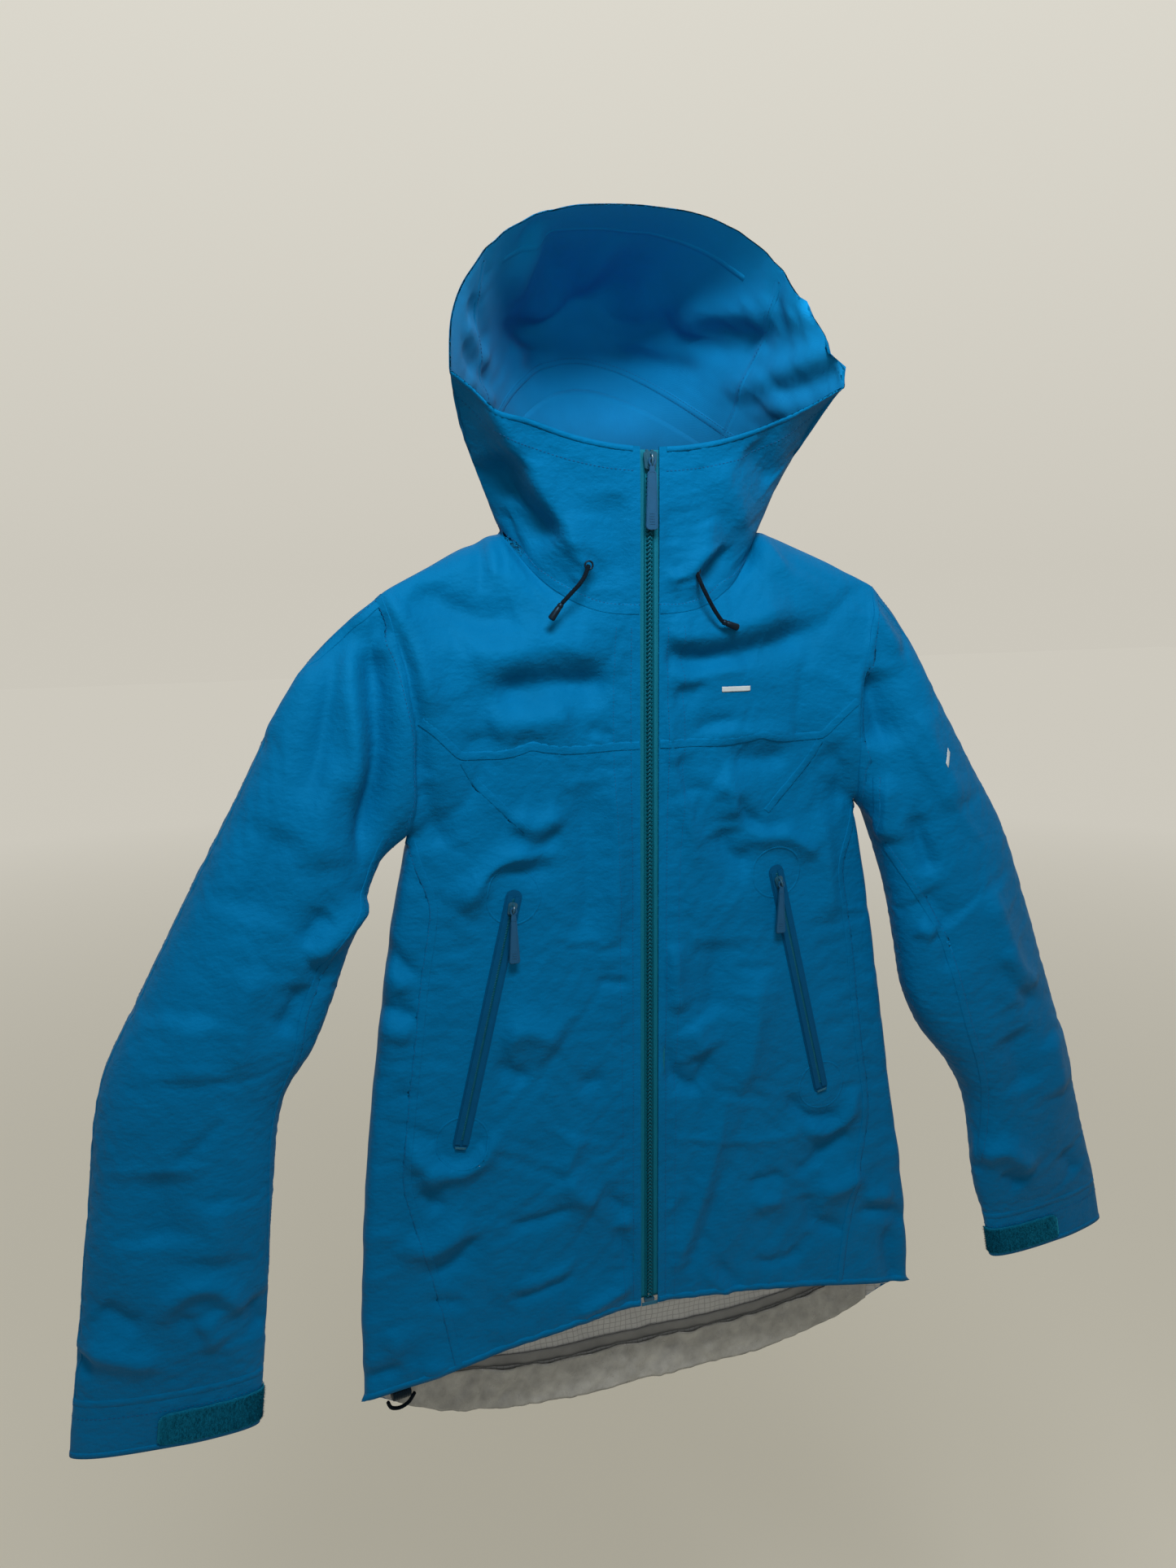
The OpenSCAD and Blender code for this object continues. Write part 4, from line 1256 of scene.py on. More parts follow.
# ---------------------------------------------------------------- pieces on the cloth
def sample(name, places, values=None):
    """Points at fractional rows and columns of a grid."""
    _, rows, cols, ring, _ = cloth.grids[name]
    grid = cloth.grid(name, values)
    r = np.clip(places[:, 0], 0, rows - 1.001)
    c = places[:, 1] % cols if ring else np.clip(places[:, 1], 0, cols - 1.001)
    j, i = r.astype(int), c.astype(int)
    f, g = (r - j)[:, None], (c - i)[:, None]
    n = (i + 1) % cols
    return ((1 - f) * (1 - g) * grid[j, i] + (1 - f) * g * grid[j, n]
            + f * (1 - g) * grid[j + 1, i] + f * g * grid[j + 1, n])


def normal_at(name, places):
    return unit(sample(name, places, NORMALS))


def shifted(name, places, way):
    """Places moved by a 3-D vector lying in the cloth, as rows and columns."""
    by_row = sample(name, places + [0.5, 0]) - sample(name, places - [0.5, 0])
    by_col = sample(name, places + [0, 0.5]) - sample(name, places - [0, 0.5])
    a, b, c = (by_row ** 2).sum(1), (by_row * by_col).sum(1), (by_col ** 2).sum(1)
    p, q = (by_row * way).sum(1), (by_col * way).sum(1)
    det = np.maximum(a * c - b * b, 0.2 * a * c)
    return places + np.stack([(c * p - b * q) / det, (a * q - b * p) / det], -1)


def beside_path(name, places, offset):
    """Path moved sideways within the cloth, with its along and outward directions."""
    points = sample(name, places)
    along = unit(np.gradient(points, axis=0))
    out = normal_at(name, places)
    return shifted(name, places, unit(np.cross(out, along)) * offset), along, out


def locate(name, spots, facing=-1):
    """Rows and columns of the cloth seen at each x and z."""
    grid, normals = cloth.grid(name), cloth.grid(name, NORMALS)
    found = []
    for x, z in spots:
        gap = (grid[..., 0] - x) ** 2 + (grid[..., 2] - z) ** 2 + 1e6 * (normals[..., 1] * facing < 0.05)
        j, i = np.unravel_index(np.argmin(gap), gap.shape)
        found.append((j, i))
    return np.array(found, float)


def even(places, name, step):
    """Path resampled to equal steps in millimetres."""
    dense = catmull(places, np.linspace(0, len(places) - 1, 20 * len(places)))
    points = sample(name, dense)
    run = run_along(points)
    at = np.linspace(0, run[-1], max(3, int(run[-1] / step)))
    return np.stack([np.interp(at, run, dense[:, k]) for k in (0, 1)], -1)


# Profiles of the bands along seams and edges, as places across the band and heights
LAP = [(-0.4, -0.4), (-0.1, 0.35), (0.5, 0.45), (5, 0.3), (7.5, -0.3)]
WELD = [(-3.2, -0.3), (-2.6, 0.18), (2.6, 0.18), (3.2, -0.3)]
INNER_WELD = [(place, -CLOTH - height) for place, height in WELD]
RING = [(-1.6, -0.3), (-0.4, 0.22), (0.4, 0.22), (1.6, -0.3)]
RIM_EDGE = [(-0.2, -0.8), (-0.2, 0.4), (1.8, 0.45), (3.4, -0.3)]
CUFF_EDGE = [(-0.3, -0.8), (-0.2, 0.4), (1.5, 0.4), (3, -0.3)]
HEM_EDGE = [(-0.3, -1.0), (-0.3, 0.4), (1.6, 0.5), (4, -0.3)]
LAP_STEP = 4


def strip_mesh(name, places, profile, turn=1):
    """Points and faces of a low band that follows the cloth. The profile gives sideways
    offset and height."""
    rows = []
    for offset, height in profile:
        at, _, _ = beside_path(name, places, turn * offset)
        at[1:-1] = (at[:-2] + 2 * at[1:-1] + at[2:]) / 4
        rows.append(sample(name, at) + normal_at(name, at) * height)
    grid = np.array(rows)
    faces = grid_faces(len(places), len(profile), ring=True, flip=turn < 0)
    return np.swapaxes(grid, 0, 1).reshape(-1, 3), faces


def stitch_mesh(name, places, offset, pitch=3.1, length=2.1, half_wide=0.22, high=0.3):
    """A dash for each stitch of a row."""
    at, _, _ = beside_path(name, even(places, name, pitch), offset)
    centers = sample(name, at)
    out = normal_at(name, at)
    along = unit(np.gradient(centers, axis=0))
    side = unit(np.cross(out, along))
    corners = []
    for x, y, z in ((-1, -1, -1), (1, -1, -1), (1, 1, -1), (-1, 1, -1), (-0.7, -0.6, 1), (0.7, -0.6, 1),
                    (0.7, 0.6, 1), (-0.7, 0.6, 1)):
        corners.append(centers + along * x * length / 2 + side * y * half_wide + out * z * high)
    points = np.swapaxes(np.array(corners), 0, 1).reshape(-1, 3)
    box = np.array([[0, 3, 2, 1], [4, 5, 6, 7], [0, 1, 5, 4], [1, 2, 6, 5], [2, 3, 7, 6], [3, 0, 4, 7]])
    faces = (box[None] + 8 * np.arange(len(centers))[:, None, None]).reshape(-1, 4)
    return points, faces


def joined(parts):
    points, faces, start = [], [], 0
    for p, f in parts:
        points.append(p)
        faces.append(f + start)
        start += len(p)
    return np.concatenate(points), np.concatenate(faces)


def front_place(x, z, side=-1):
    """Rows and columns on a front grid, or on the back grid's right or left half."""
    u = min(1.0, abs(x) / float(table(HALF_WIDTHS, z)))
    top = float(top_line(np.array(u), side))
    hem = float(hem_line(u, side))
    if z > UNDERARM_Z:
        row = ARM_ROWS * (top - z) / (top - UNDERARM_Z)
    else:
        row = ARM_ROWS + BODY_ROWS * (UNDERARM_Z - z) / (UNDERARM_Z - hem)
    if side < 0:
        return 2 * row, np.interp(u, U_COLS, np.arange(len(U_COLS)))
    middle = len(U_COLS_BACK) - 1
    return 2 * row, middle + math.copysign(np.interp(u, U_COLS_BACK, np.arange(len(U_COLS_BACK))), x)


def grid_line(rows, cols, count):
    """Path of rows and columns between two places; a single number stays the same."""
    return np.stack([np.linspace(*np.broadcast_to(ends, 2), count) for ends in (rows, cols)], -1)


def seam_path(side, spots):
    return np.array([front_place(x, z, side) for x, z in spots])


def width_at(z):
    return float(table(HALF_WIDTHS, z))


def shell_seams():
    laps, stitches = [], []
    for side, turn in SIDES:
        name = "front_" + side
        chest = [(u * width_at(chest_line(u)), chest_line(u))
                 for u in (0.045, 0.2, 0.4, 0.6, 0.8, 0.84, 0.9, 0.99)]
        dart = [(chest[4][0], chest[4][1]), (134, -188), (118, -205), (98, -226)]
        edge = [(float(table(SIDE_SEAMS, z)) * width_at(z), z) for z in
                (-232, -250, -285, -340, -400, -450, -500, -550, -610, -650, -664)]
        for spots, way in ((chest, turn), (dart, turn), (edge, turn)):
            path = even(seam_path(-1, spots), name, LAP_STEP)
            laps.append(strip_mesh(name, path, LAP, way))
        stitches.append(stitch_mesh(name, seam_path(-1, edge), 5.5 * turn))
        zip_edge = grid_line((4, cloth.grids[name][1] - 3), 0, 60)
        stitches.append(stitch_mesh(name, zip_edge, 3.4 * turn, 2.6, 1.7))
        stitches.append(stitch_mesh(name, zip_edge, 9.0 * turn, 2.6, 1.7, 0.16, 0.2))
        rear = [(turn * float(table(BACK_SEAMS, z)) * width_at(z), z) for z in
                (-234, -285, -340, -400, -460, -510, -560, -610, -650, -690)]
        laps.append(strip_mesh("back", even(seam_path(1, rear), "back", LAP_STEP), LAP, -turn))
    yoke = [(x, BACK_SEAM_Z) for x in (-174, -120, -60, 0, 60, 120, 174)]
    path = even(seam_path(1, yoke), "back", LAP_STEP)
    laps.append(strip_mesh("back", path, LAP, 1))
    stitches.append(stitch_mesh("back", path, 5.5))
    return joined(laps), joined(stitches)


def hood_seams():
    laps, stitches, tapes = [], [], []
    _, rows, cols = cloth.grids["hood"][:3]
    around = (cols - 1) / 2
    neck = grid_line(0.3, (0.5, cols - 1.5), 140)
    laps.append(strip_mesh("hood", neck, LAP, 1))
    stitches.append(stitch_mesh("hood", neck, 5.8))
    rim = grid_line(rows - 1.2, (1, cols - 2), 140)
    laps.append(strip_mesh("hood", rim, RIM_EDGE, -1))
    stitches.append(stitch_mesh("hood", rim, -12))
    for turn, way in ((HOOD_SEAM_TURN, 1), (360 - HOOD_SEAM_TURN, -1)):
        path = grid_line((1, rows - 3), turn / 180 * around, 50)
        laps.append(strip_mesh("hood", path, WELD, way))
        stitches.append(stitch_mesh("hood", path, 3.6 * way))
    ends = np.array([HOOD_SEAM_TURN, 360 - HOOD_SEAM_TURN]) / 180 * around
    brim = grid_line(BRIM_START * (rows - 1), ends, 50)
    laps.append(strip_mesh("hood", brim, WELD, 1))
    tapes.append(strip_mesh("hood", brim, INNER_WELD, -1))
    for turn in (HOOD_SEAM_TURN - 12, 360 - HOOD_SEAM_TURN + 12):
        path = grid_line((2, rows - 4), turn / 180 * around, 50)
        tapes.append(strip_mesh("hood", path, INNER_WELD, -1))
        stitches.append(stitch_mesh("hood", path, 0, high=-1.4))
    gather = grid_line(GATHER_ROW, np.array([112, 248]) / 180 * around, 90)
    tapes.append(strip_mesh("hood", gather, INNER_WELD, -1))
    for offset in (-2, 2):
        stitches.append(stitch_mesh("hood", gather, offset, high=-1.5))
    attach(mesh_object("hood_inner_seams", *joined(tapes), [HOOD_IN_PAINTED_LIGHT]), "shell")
    return joined(laps), joined(stitches)


# Places on the seam under each arm, as x and z
INNER_SEAMS = {
    "right": [(190, -205), (194, -232), (203, -262), (224, -302), (248, -350), (270, -412), (292, -466),
              (302, -500), (308, -560)],
    "left": [(-206, -222), (-226, -262), (-252, -302), (-276, -350), (-290, -400), (-300, -450),
             (-306, -540)]}


def sleeve_seams(side):
    name = "sleeve_" + side
    way = 1 if side == "right" else -1
    rows, cols = cloth.grids[name][1:3]
    last = cuff_row(side)

    def ring(row):
        return grid_line(row, (0, cols), 61)
    outer = grid_line((2, last), SEAM_ANGLES[0] / 3, 30)
    laps, stitches = [], []
    for path, turn in ((ring(0.6), -way), (outer, way), (locate(name, INNER_SEAMS[side]), 1)):
        laps.append(strip_mesh(name, even(path, name, LAP_STEP), LAP, turn))
        stitches.append(stitch_mesh(name, path, 5.6 * turn))
    laps.append(strip_mesh(name, ring(last - 1), WELD, way))
    for row in (last + 3, rows - 3.0):
        stitches.append(stitch_mesh(name, ring(row), 0))
    laps.append(strip_mesh(name, ring(rows - 1.1), CUFF_EDGE, way))
    return joined(laps), joined(stitches)


def hem_edges():
    laps = []
    for name in ("front_right", "front_left", "back"):
        rows, cols = cloth.grids[name][1:3]
        way = 1 if name == "front_right" else -1
        laps.append(strip_mesh(name, grid_line(rows - 1.1, (0.3, cols - 1.3), 90), HEM_EDGE, way))
    return joined(laps)


def seams():
    for label, (laps, stitches) in (("body_seams", shell_seams()), ("hood_seams", hood_seams())):
        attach(mesh_object(label, *laps, [SHELL]), "shell")
        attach(mesh_object(label + "_thread", *stitches, [THREAD], flat=True), "shell")
    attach(mesh_object("hem_edge", *hem_edges(), [SHELL]), "shell")
    for side, _ in SIDES:
        laps, stitches = sleeve_seams(side)
        on_arm(mesh_object("arm_seams_" + side, *laps, [SHELL]))
        on_arm(mesh_object("arm_thread_" + side, *stitches, [THREAD], flat=True))


def layer(grid, places, high, material, node, thick, body="shell", wave=None):
    """A second sheet over or under part of a grid, high above the cloth. Places are rows and columns."""
    shape = places.shape[:2]
    places = places.reshape(-1, 2)
    out = normal_at(grid, places)
    points = sample(grid, places) + out * high
    if wave is not None:
        points = points + out * wave(points)[:, None]
    obj = sheet_object(node + "_sheet", points, points + out * thick * np.sign(high), shape, material)
    in_frame(obj, body, node)


def block(rows, cols, shape):
    """Rows and columns that fill part of a grid evenly."""
    return np.stack(np.meshgrid(np.linspace(*rows, shape[0]), np.linspace(*cols, shape[1]),
                                indexing="ij"), -1)


def crush(points):
    """Sharp hollows of a thin film that has been crushed."""
    return (-2.4 * np.abs(soft_noise(points * [1, 1, 0.7], 19, 11))
            - 1.3 * np.abs(soft_noise(points, 9, 12)) - 0.4 * np.abs(soft_noise(points, 5, 13)))


def linings():
    rows, cols = cloth.grids["back"][1:3]
    edge = (9, cols - 10)
    layer("back", block((rows - 12.5, rows - 1.4), edge, (16, 240)), -2.9, FACING_WITH_PAINTED_LIGHT,
          "hem_facing_back", 0.5, wave=crush)
    layer("back", block((rows - 15.6, rows - 12.6), edge, (5, 120)), -2.0, SEAM_TAPE,
          "hem_seam_tape", 0.4)
    rows = cloth.grids["front_right"][1]
    for side, _ in SIDES:
        layer("front_" + side, block((rows - 12.5, rows - 1.6), (3, 62), (14, 110)), -2.9, FACING_WITH_PAINTED_LIGHT,
              "hem_facing_" + side, 0.5, wave=crush)
    rows, cols = cloth.grids["hood"][1:3]
    degree = (cols - 1) / 360
    for node, top, first, last, shape, material in (
            ("collar_lining_right", 0.94, 18, 78, (40, 40), COLLAR_IN_DARK_AND_SHADED),
            ("collar_lining_left", 0.94, 282, 342, (40, 40), COLLAR_IN_DARK_AND_SHADED),
            ("neck_band", 0.3, 97, 263, (14, 90), HOOD_IN_PAINTED_LIGHT)):
        layer("hood", block((0.04 * rows, top * rows), (first * degree, last * degree), shape), -2.6,
              material, node, 0.5)


# ---------------------------------------------------------------- hard and narrow trims
def frame_along(line):
    """Two directions across a line at each of its points."""
    way = unit(np.gradient(line, axis=0))
    side = unit(np.cross(way, [0.31, 0.95, 0.05]))
    return side, np.cross(way, side)


def circle(side, up, angle):
    """Points of a unit circle, or one point for each place along a line."""
    return np.cos(angle)[..., None] * side + np.sin(angle)[..., None] * up


def tube(points, radius, sides=8):
    """Points and side faces of a tube, and the triangles of its flat ends. The radius may
    change along it."""
    p = np.asarray(points, float)
    side, up = frame_along(p)
    angle = 2 * np.pi * np.arange(sides) / sides
    r = np.broadcast_to(radius, len(p))[:, None, None]
    rings = p[:, None] + r * circle(side[:, None], up[:, None], angle[None])
    start = len(p) * sides
    caps = []
    for k, center in ((0, start), (len(p) - 1, start + 1)):
        for i in range(sides):
            a, b = k * sides + i, k * sides + (i + 1) % sides
            caps.append([center, b, a] if k else [center, a, b])
    return np.concatenate([rings.reshape(-1, 3), p[:1], p[-1:]]), grid_faces(len(p), sides, ring=True), caps


def open_tubes(name, paths, radius, material):
    """One object of many fine tubes without ends."""
    parts = [tube(path, radius, 6)[:2] for path in paths]
    return mesh_object(name, *joined(parts), [material])


def tubes(name, paths, radius, material, sides=8):
    """One object of many tubes."""
    bm = bmesh.new()
    for path in paths:
        points, faces, caps = tube(path, radius, sides)
        verts = [bm.verts.new(p * MM) for p in points]
        for f in faces:
            bm.faces.new([verts[i] for i in f]).smooth = True
        for f in caps:
            bm.faces.new([verts[i] for i in f])
    return finish_solid(name, bm, material)


def finish_solid(name, bm, material):
    bmesh.ops.recalc_face_normals(bm, faces=bm.faces)
    mesh = bpy.data.meshes.new(name)
    bm.to_mesh(mesh)
    bm.free()
    mesh.materials.append(material)
    return linked(name, mesh)


def next_pairs(items):
    """Each item with the one after it, round to the first."""
    return list(zip(items, items[1:] + items[:1]))


def plate(bm, outline, near, far, bevel=0.4, hole=None):
    """Plate lying in x and z from y near (front) to far, with rounded edges."""
    lines = [outline, hole] if hole else [outline]
    front, back = [[[bm.verts.new(Vector((x, y, z)) * MM) for x, z in line] for line in lines]
                   for y in (near, far)]
    made = []
    for first, second in zip(front, back):
        for (a, b), (c, d) in zip(next_pairs(first), next_pairs(second)):
            made.append(bm.faces.new([a, b, d, c]))
    for ends in (front, back):
        if hole:
            for (a, b), (c, d) in zip(next_pairs(ends[0]), next_pairs(ends[1])):
                made.append(bm.faces.new([a, b, d, c]))
        else:
            made.append(bm.faces.new(ends[0]))
    sharp = [bm.edges.get(pair) for ends in (front, back) for line in ends for pair in next_pairs(line)]
    bmesh.ops.recalc_face_normals(bm, faces=made)
    bmesh.ops.bevel(bm, geom=sharp, offset=bevel * MM, segments=2, affect="EDGES", clamp_overlap=True)


def plates(name, material, *parts):
    """One object of plates, each given as the values of plate."""
    bm = bmesh.new()
    for part in parts:
        plate(bm, *part)
    return finish_solid(name, bm, material)


def round_outline(half_top, half_low, top, low, corner, count=6):
    """Outline of a bar with rounded corners, wider or narrower at its low end."""
    out = []
    for cx, cz, first in ((half_top - corner, top - corner, 0), (corner - half_top, top - corner, 90),
                          (corner - half_low, low + corner, 180), (half_low - corner, low + corner, 270)):
        for k in range(count + 1):
            a = math.radians(first + 90 * k / count)
            out.append((cx + corner * math.cos(a), cz + corner * math.sin(a)))
    return out


def oval(half_x, half_z, center_z, count=28):
    turns = [2 * math.pi * k / count + math.pi / 14 for k in range(count)]
    return [(half_x * math.cos(a), center_z + half_z * math.sin(a)) for a in turns]


def placed(obj, shift, turn=0.0):
    """Turn a finished piece about Y and move it, keeping its mesh in the shared frame."""
    matrix = Matrix.Translation(Vector(shift) * MM) @ Matrix.Rotation(turn, 4, "Y")
    obj.data.transform(matrix)
    return obj


def mirror_copy(obj, name):
    mesh = obj.data.copy()
    mirror(mesh)
    return linked(name, mesh)


def mirror(mesh):
    mesh.transform(Matrix.Scale(-1, 4, (1, 0, 0)))
    mesh.flip_normals()


def shade(obj, angle=35):
    for p in obj.data.polygons:
        p.use_smooth = True
    obj.data.set_sharp_from_angle(angle=math.radians(angle))
    return obj


# ---------------------------------------------------------------- main zip
STORM_FLAP_HALF = 19.5
STORM_FLAP_TOP_Z = 45
COIL_PITCH = 3.2
MAIN_PIN = PINS["main_pull_swing"]
PIN_Y, SLIDER_Z = MAIN_PIN[1:]


def zip_tape():
    """Ribbed tape, a little uneven where it is stitched down."""
    across = np.linspace(0.7, 13.6, 48)
    down = np.linspace(CHIN_Z - 2, ZIP_BOTTOM_Z, 240)
    x, z = np.meshgrid(across, down)
    rib = 0.16 * np.abs(np.sin(np.pi * x / 1.45)) ** 0.7 - 0.02
    thread_row = -0.25 * np.exp(-((x - 4.1) / 0.35) ** 2)
    wave = 0.15 * np.sin(z / 5.3 + 1.3 * np.sin(z / 17)) * smooth((x - 4) / 5)
    front = np.stack([x, TAPE_Y - rib - thread_row - wave, z], -1).reshape(-1, 3)
    back = front.copy()
    back[:, 1] = TAPE_Y + 0.8
    return sheet_object("zip_tape_right_weave", front, back, x.shape, ZIP_TAPE_WITH_RIB_SHADE)


def zip_coil():
    """Each turn of the coil slants up from the tape to the middle."""
    turn = np.array([(2.1, 0.6, -1.6), (2.0, -0.7, -1.4), (1.4, -1.3, -0.7), (0.6, -1.35, 0.5),
                     (0.0, -0.8, 1.2), (0.2, 0.3, 1.3), (2.0, 0.5, 1.2)])
    low, high = ZIP_BOTTOM_Z + 2.5, SLIDER_Z - 5.5
    paths = [turn + [0, TAPE_Y - 1.0, low + k * COIL_PITCH] for k in range(int((high - low) / COIL_PITCH))]
    paths.append([(3.5, TAPE_Y - 0.4, ZIP_BOTTOM_Z + 2), (3.5, TAPE_Y - 0.4, CHIN_Z - 8)])
    return open_tubes("zip_coil_right_turns", paths, 0.52, ZIP_COIL)


def slider_body(name, half_top, half_low, high, front_y, depth):
    base = round_outline(half_top, half_low, high, -high, 2.2)
    raised = round_outline(half_top - 1.3, half_low - 1.0, high - 1.2, -high + 1.2, 1.6)
    return shade(plates(name, ZIP_SLIDER, (base, front_y, front_y + depth, 0.45),
                        (raised, front_y - 0.6, front_y + 0.4, 0.35)))


def main_slider():
    plate_y = TAPE_Y - 4
    body = slider_body("main_slider_body", 5.5, 4.4, 6.5, plate_y, 1.4)
    back = shade(plates("main_slider_back", ZIP_SLIDER,
                        (round_outline(5.5, 4.4, 6.4, -6.4, 2.2), TAPE_Y + 1.3, TAPE_Y + 2.5, 0.4)))
    neck = plates("main_slider_neck", ZIP_SLIDER,
                  (round_outline(0.35, 0.35, 3.9, 1, 0.15, 2), plate_y + 0.8, TAPE_Y + 2, 0.05))
    arch = curve([(0, plate_y, 4.6), (0, plate_y - 2.6, 4.2), (0, PIN_Y - 1.3, 1.6), (0, PIN_Y - 1.3, -1.6),
                  (0, plate_y - 2.4, -3.6), (0, plate_y, -4.2)], 0.7)
    bridge = shade(tubes("main_slider_bridge", [arch], 0.85, ZIP_SLIDER, 10))
    for piece in (body, back, neck, bridge):
        placed(piece, (0, 0, SLIDER_Z))
        in_frame(piece, "main_slider", "main_slider" if piece == body else None)


def pull_tab(name, length, half_top, half_low, thick, grip):
    """Ring at the top, a short neck, then a flat strap with a raised rim. Pin at the origin."""
    narrow = min(half_top, half_low)
    parts = [(oval(2.9, 3.3, -1.0), -0.75, 0.75, 0.3, oval(1.5, 1.9, -0.8)),
             (round_outline(1.8, 2.2, -3.6, -8.2, 0.5), -0.7, 0.7, 0.25),
             (round_outline(half_top, half_low, -7, -length, narrow - 0.4), -thick / 2, thick / 2, 0.4)]
    rim = round_outline(half_top - 0.3, half_low - 0.3, -7.4, -length + 0.4, narrow - 0.8)
    inner = round_outline(half_top - 1.1, half_low - 1.1, -8.4, -length + 1.4, max(0.4, narrow - 1.6))
    for y in (-thick / 2, thick / 2):
        parts.append((rim, y - 0.22, y + 0.22, 0.1, inner))
        for k in range(grip):
            z = -length + 4.5 + 1.9 * k
            bar = round_outline(half_low * 0.45, half_low * 0.45, z + 0.45, z - 0.45, 0.4, 3)
            parts.append((bar, y - 0.25, y + 0.25, 0.1))
    return shade(plates(name, PULL_TAB, *parts))


def bar_tack(name, half, rows, radius):
    """A short bar of threads; each row gives its y and z."""
    paths = [curve([(x, y, z) for x in (-half, 0, half)], 2) for y, z in rows]
    return tubes(name, paths, radius, ZIP_END, 6)


def zip_ends():
    for side, sign in (("left", -1), ("right", 1)):
        stop = shade(plates("zip_stop_" + side, ZIP_SLIDER,
                            (round_outline(1.2, 1.2, 1.4, -1.4, 0.6), -1.9, 0.1, 0.4)))
        placed(stop, (sign * 2, TAPE_Y, CHIN_Z - 3.4))
        in_frame(stop, "shell", "zip_top_stops" if sign > 0 else None)
    box = shade(plates("zip_box", ZIP_SLIDER, (round_outline(4.5, 4.2, 2.3, -2.3, 1), -2.0, 1.4, 0.5)))
    placed(box, (0, TAPE_Y, ZIP_BOTTOM_Z - 2.7))
    in_frame(box, "shell", "zip_bottom_box")
    rows = [(TAPE_Y - 2.2 + 0.2 * (k % 2), ZIP_BOTTOM_Z - 6.2 + 0.5 * k) for k in range(6)]
    in_frame(bar_tack("zip_bar_tack", 7, rows, 0.32), "shell")


def main_zip():
    tape, coil = zip_tape(), shade(zip_coil(), 60)
    for right, kind in ((tape, "zip_tape"), (coil, "zip_coil")):
        left = mirror_copy(right, kind + "_left_piece")
        for obj, side in ((right, "right"), (left, "left")):
            in_frame(obj, "shell", kind + "_" + side)
    main_slider()
    tab = placed(pull_tab("main_pull_strap", 50, 3.6, 4.8, 1.6, 5), MAIN_PIN)
    in_frame(tab, "main_pull_tab", "main_pull_tab")
    zip_ends()
    storm_flap()


def storm_flap():
    """Strip of cloth behind the zip."""
    x, z = np.meshgrid(np.linspace(-STORM_FLAP_HALF, STORM_FLAP_HALF, 12),
                       np.linspace(STORM_FLAP_TOP_Z, ZIP_BOTTOM_Z, 120))
    front = np.stack([x, 0 * x, z], -1).reshape(-1, 3)
    front[:, 1] = FRONT_Y + 6.4 + 0.35 * soft_noise(front, 26, 21)
    flap = sheet_object("storm_flap_cloth", front, front + [0, 1.1, 0], x.shape, SHELL)
    in_frame(flap, "shell", "storm_flap")


# ---------------------------------------------------------------- pockets
WELT_Y = FRONT_Y - 0.2
WELT_HALF = 6.5
WELT_COIL_PITCH = 1.3
POCKET_PLATE_Y = WELT_Y - 3
POCKET_PIN = PINS["pocket_pull_swing_right"]
WELD_RING_RADIUS = 21
BAG_INNER_X, BAG_OUTER_X = 28, 158
BAG_TOP_Z, BAG_LOW_Z = -238, -500


def welt():
    """Two glued lips either side of the slit, with bevelled edges and rounded ends."""
    low = -POCKET_LENGTH
    parts = [(round_outline(WELT_HALF, WELT_HALF, 6.2, low - 6.2, 6), WELT_Y - 0.45, WELT_Y + 0.35, 0.3)]
    for side in (-1, 1):
        corners = ((0.7, 1.5), (5.4, 1.5), (5.4, low - 1.5), (0.7, low - 1.5))
        lip = [np.array((side * x, z)) for x, z in corners]
        fine = []
        for (a, b), steps in zip(next_pairs(lip), (2, 40, 2, 40)):
            fine += [tuple(a + (b - a) * t / steps) for t in range(steps)]
        parts.append((fine, WELT_Y - 1.25, WELT_Y - 0.3, 0.4))
    return shade(plates("welt", WELT, *parts), 50)


def welt_zip():
    """Coil showing in the slit."""
    turn = np.array([(-0.9, 0, -0.25), (0, -0.35, 0.25), (0.9, 0, -0.25)])
    count = int((POCKET_LENGTH - 2) / WELT_COIL_PITCH)
    paths = [turn + [0, WELT_Y - 0.5, -1 - WELT_COIL_PITCH * k] for k in range(count)]
    return open_tubes("welt_zip", paths, 0.42, ZIP_COIL)


def weld_ring(center, side, sign):
    """Faint edge of the round patch welded behind an end of a pocket."""
    spots = [(center[0] + WELD_RING_RADIUS * math.cos(a) * sign, center[1] + WELD_RING_RADIUS * math.sin(a))
             for a in np.linspace(0, 2 * np.pi, 73)]
    return strip_mesh("front_" + side, seam_path(-1, spots), RING, 1)


def pocket_slider():
    body = slider_body("pocket_slider_body", 3.6, 3.1, 5, POCKET_PLATE_Y, 1.3)
    neck = plates("pocket_slider_neck", ZIP_SLIDER,
                  (round_outline(0.3, 0.3, 2, -3, 0.1, 2), POCKET_PLATE_Y + 0.9, POCKET_PLATE_Y + 2.5, 0.05))
    pin_y = POCKET_PIN[1]
    arch = curve([(0, POCKET_PLATE_Y, 3.6), (0, POCKET_PLATE_Y - 2.2, 3.2), (0, pin_y - 1.2, 1.2),
                  (0, pin_y - 1.2, -1.4), (0, POCKET_PLATE_Y - 2, -3), (0, POCKET_PLATE_Y, -3.4)], 0.7)
    return body, neck, shade(tubes("pocket_slider_bridge", [arch], 0.75, ZIP_SLIDER, 10))


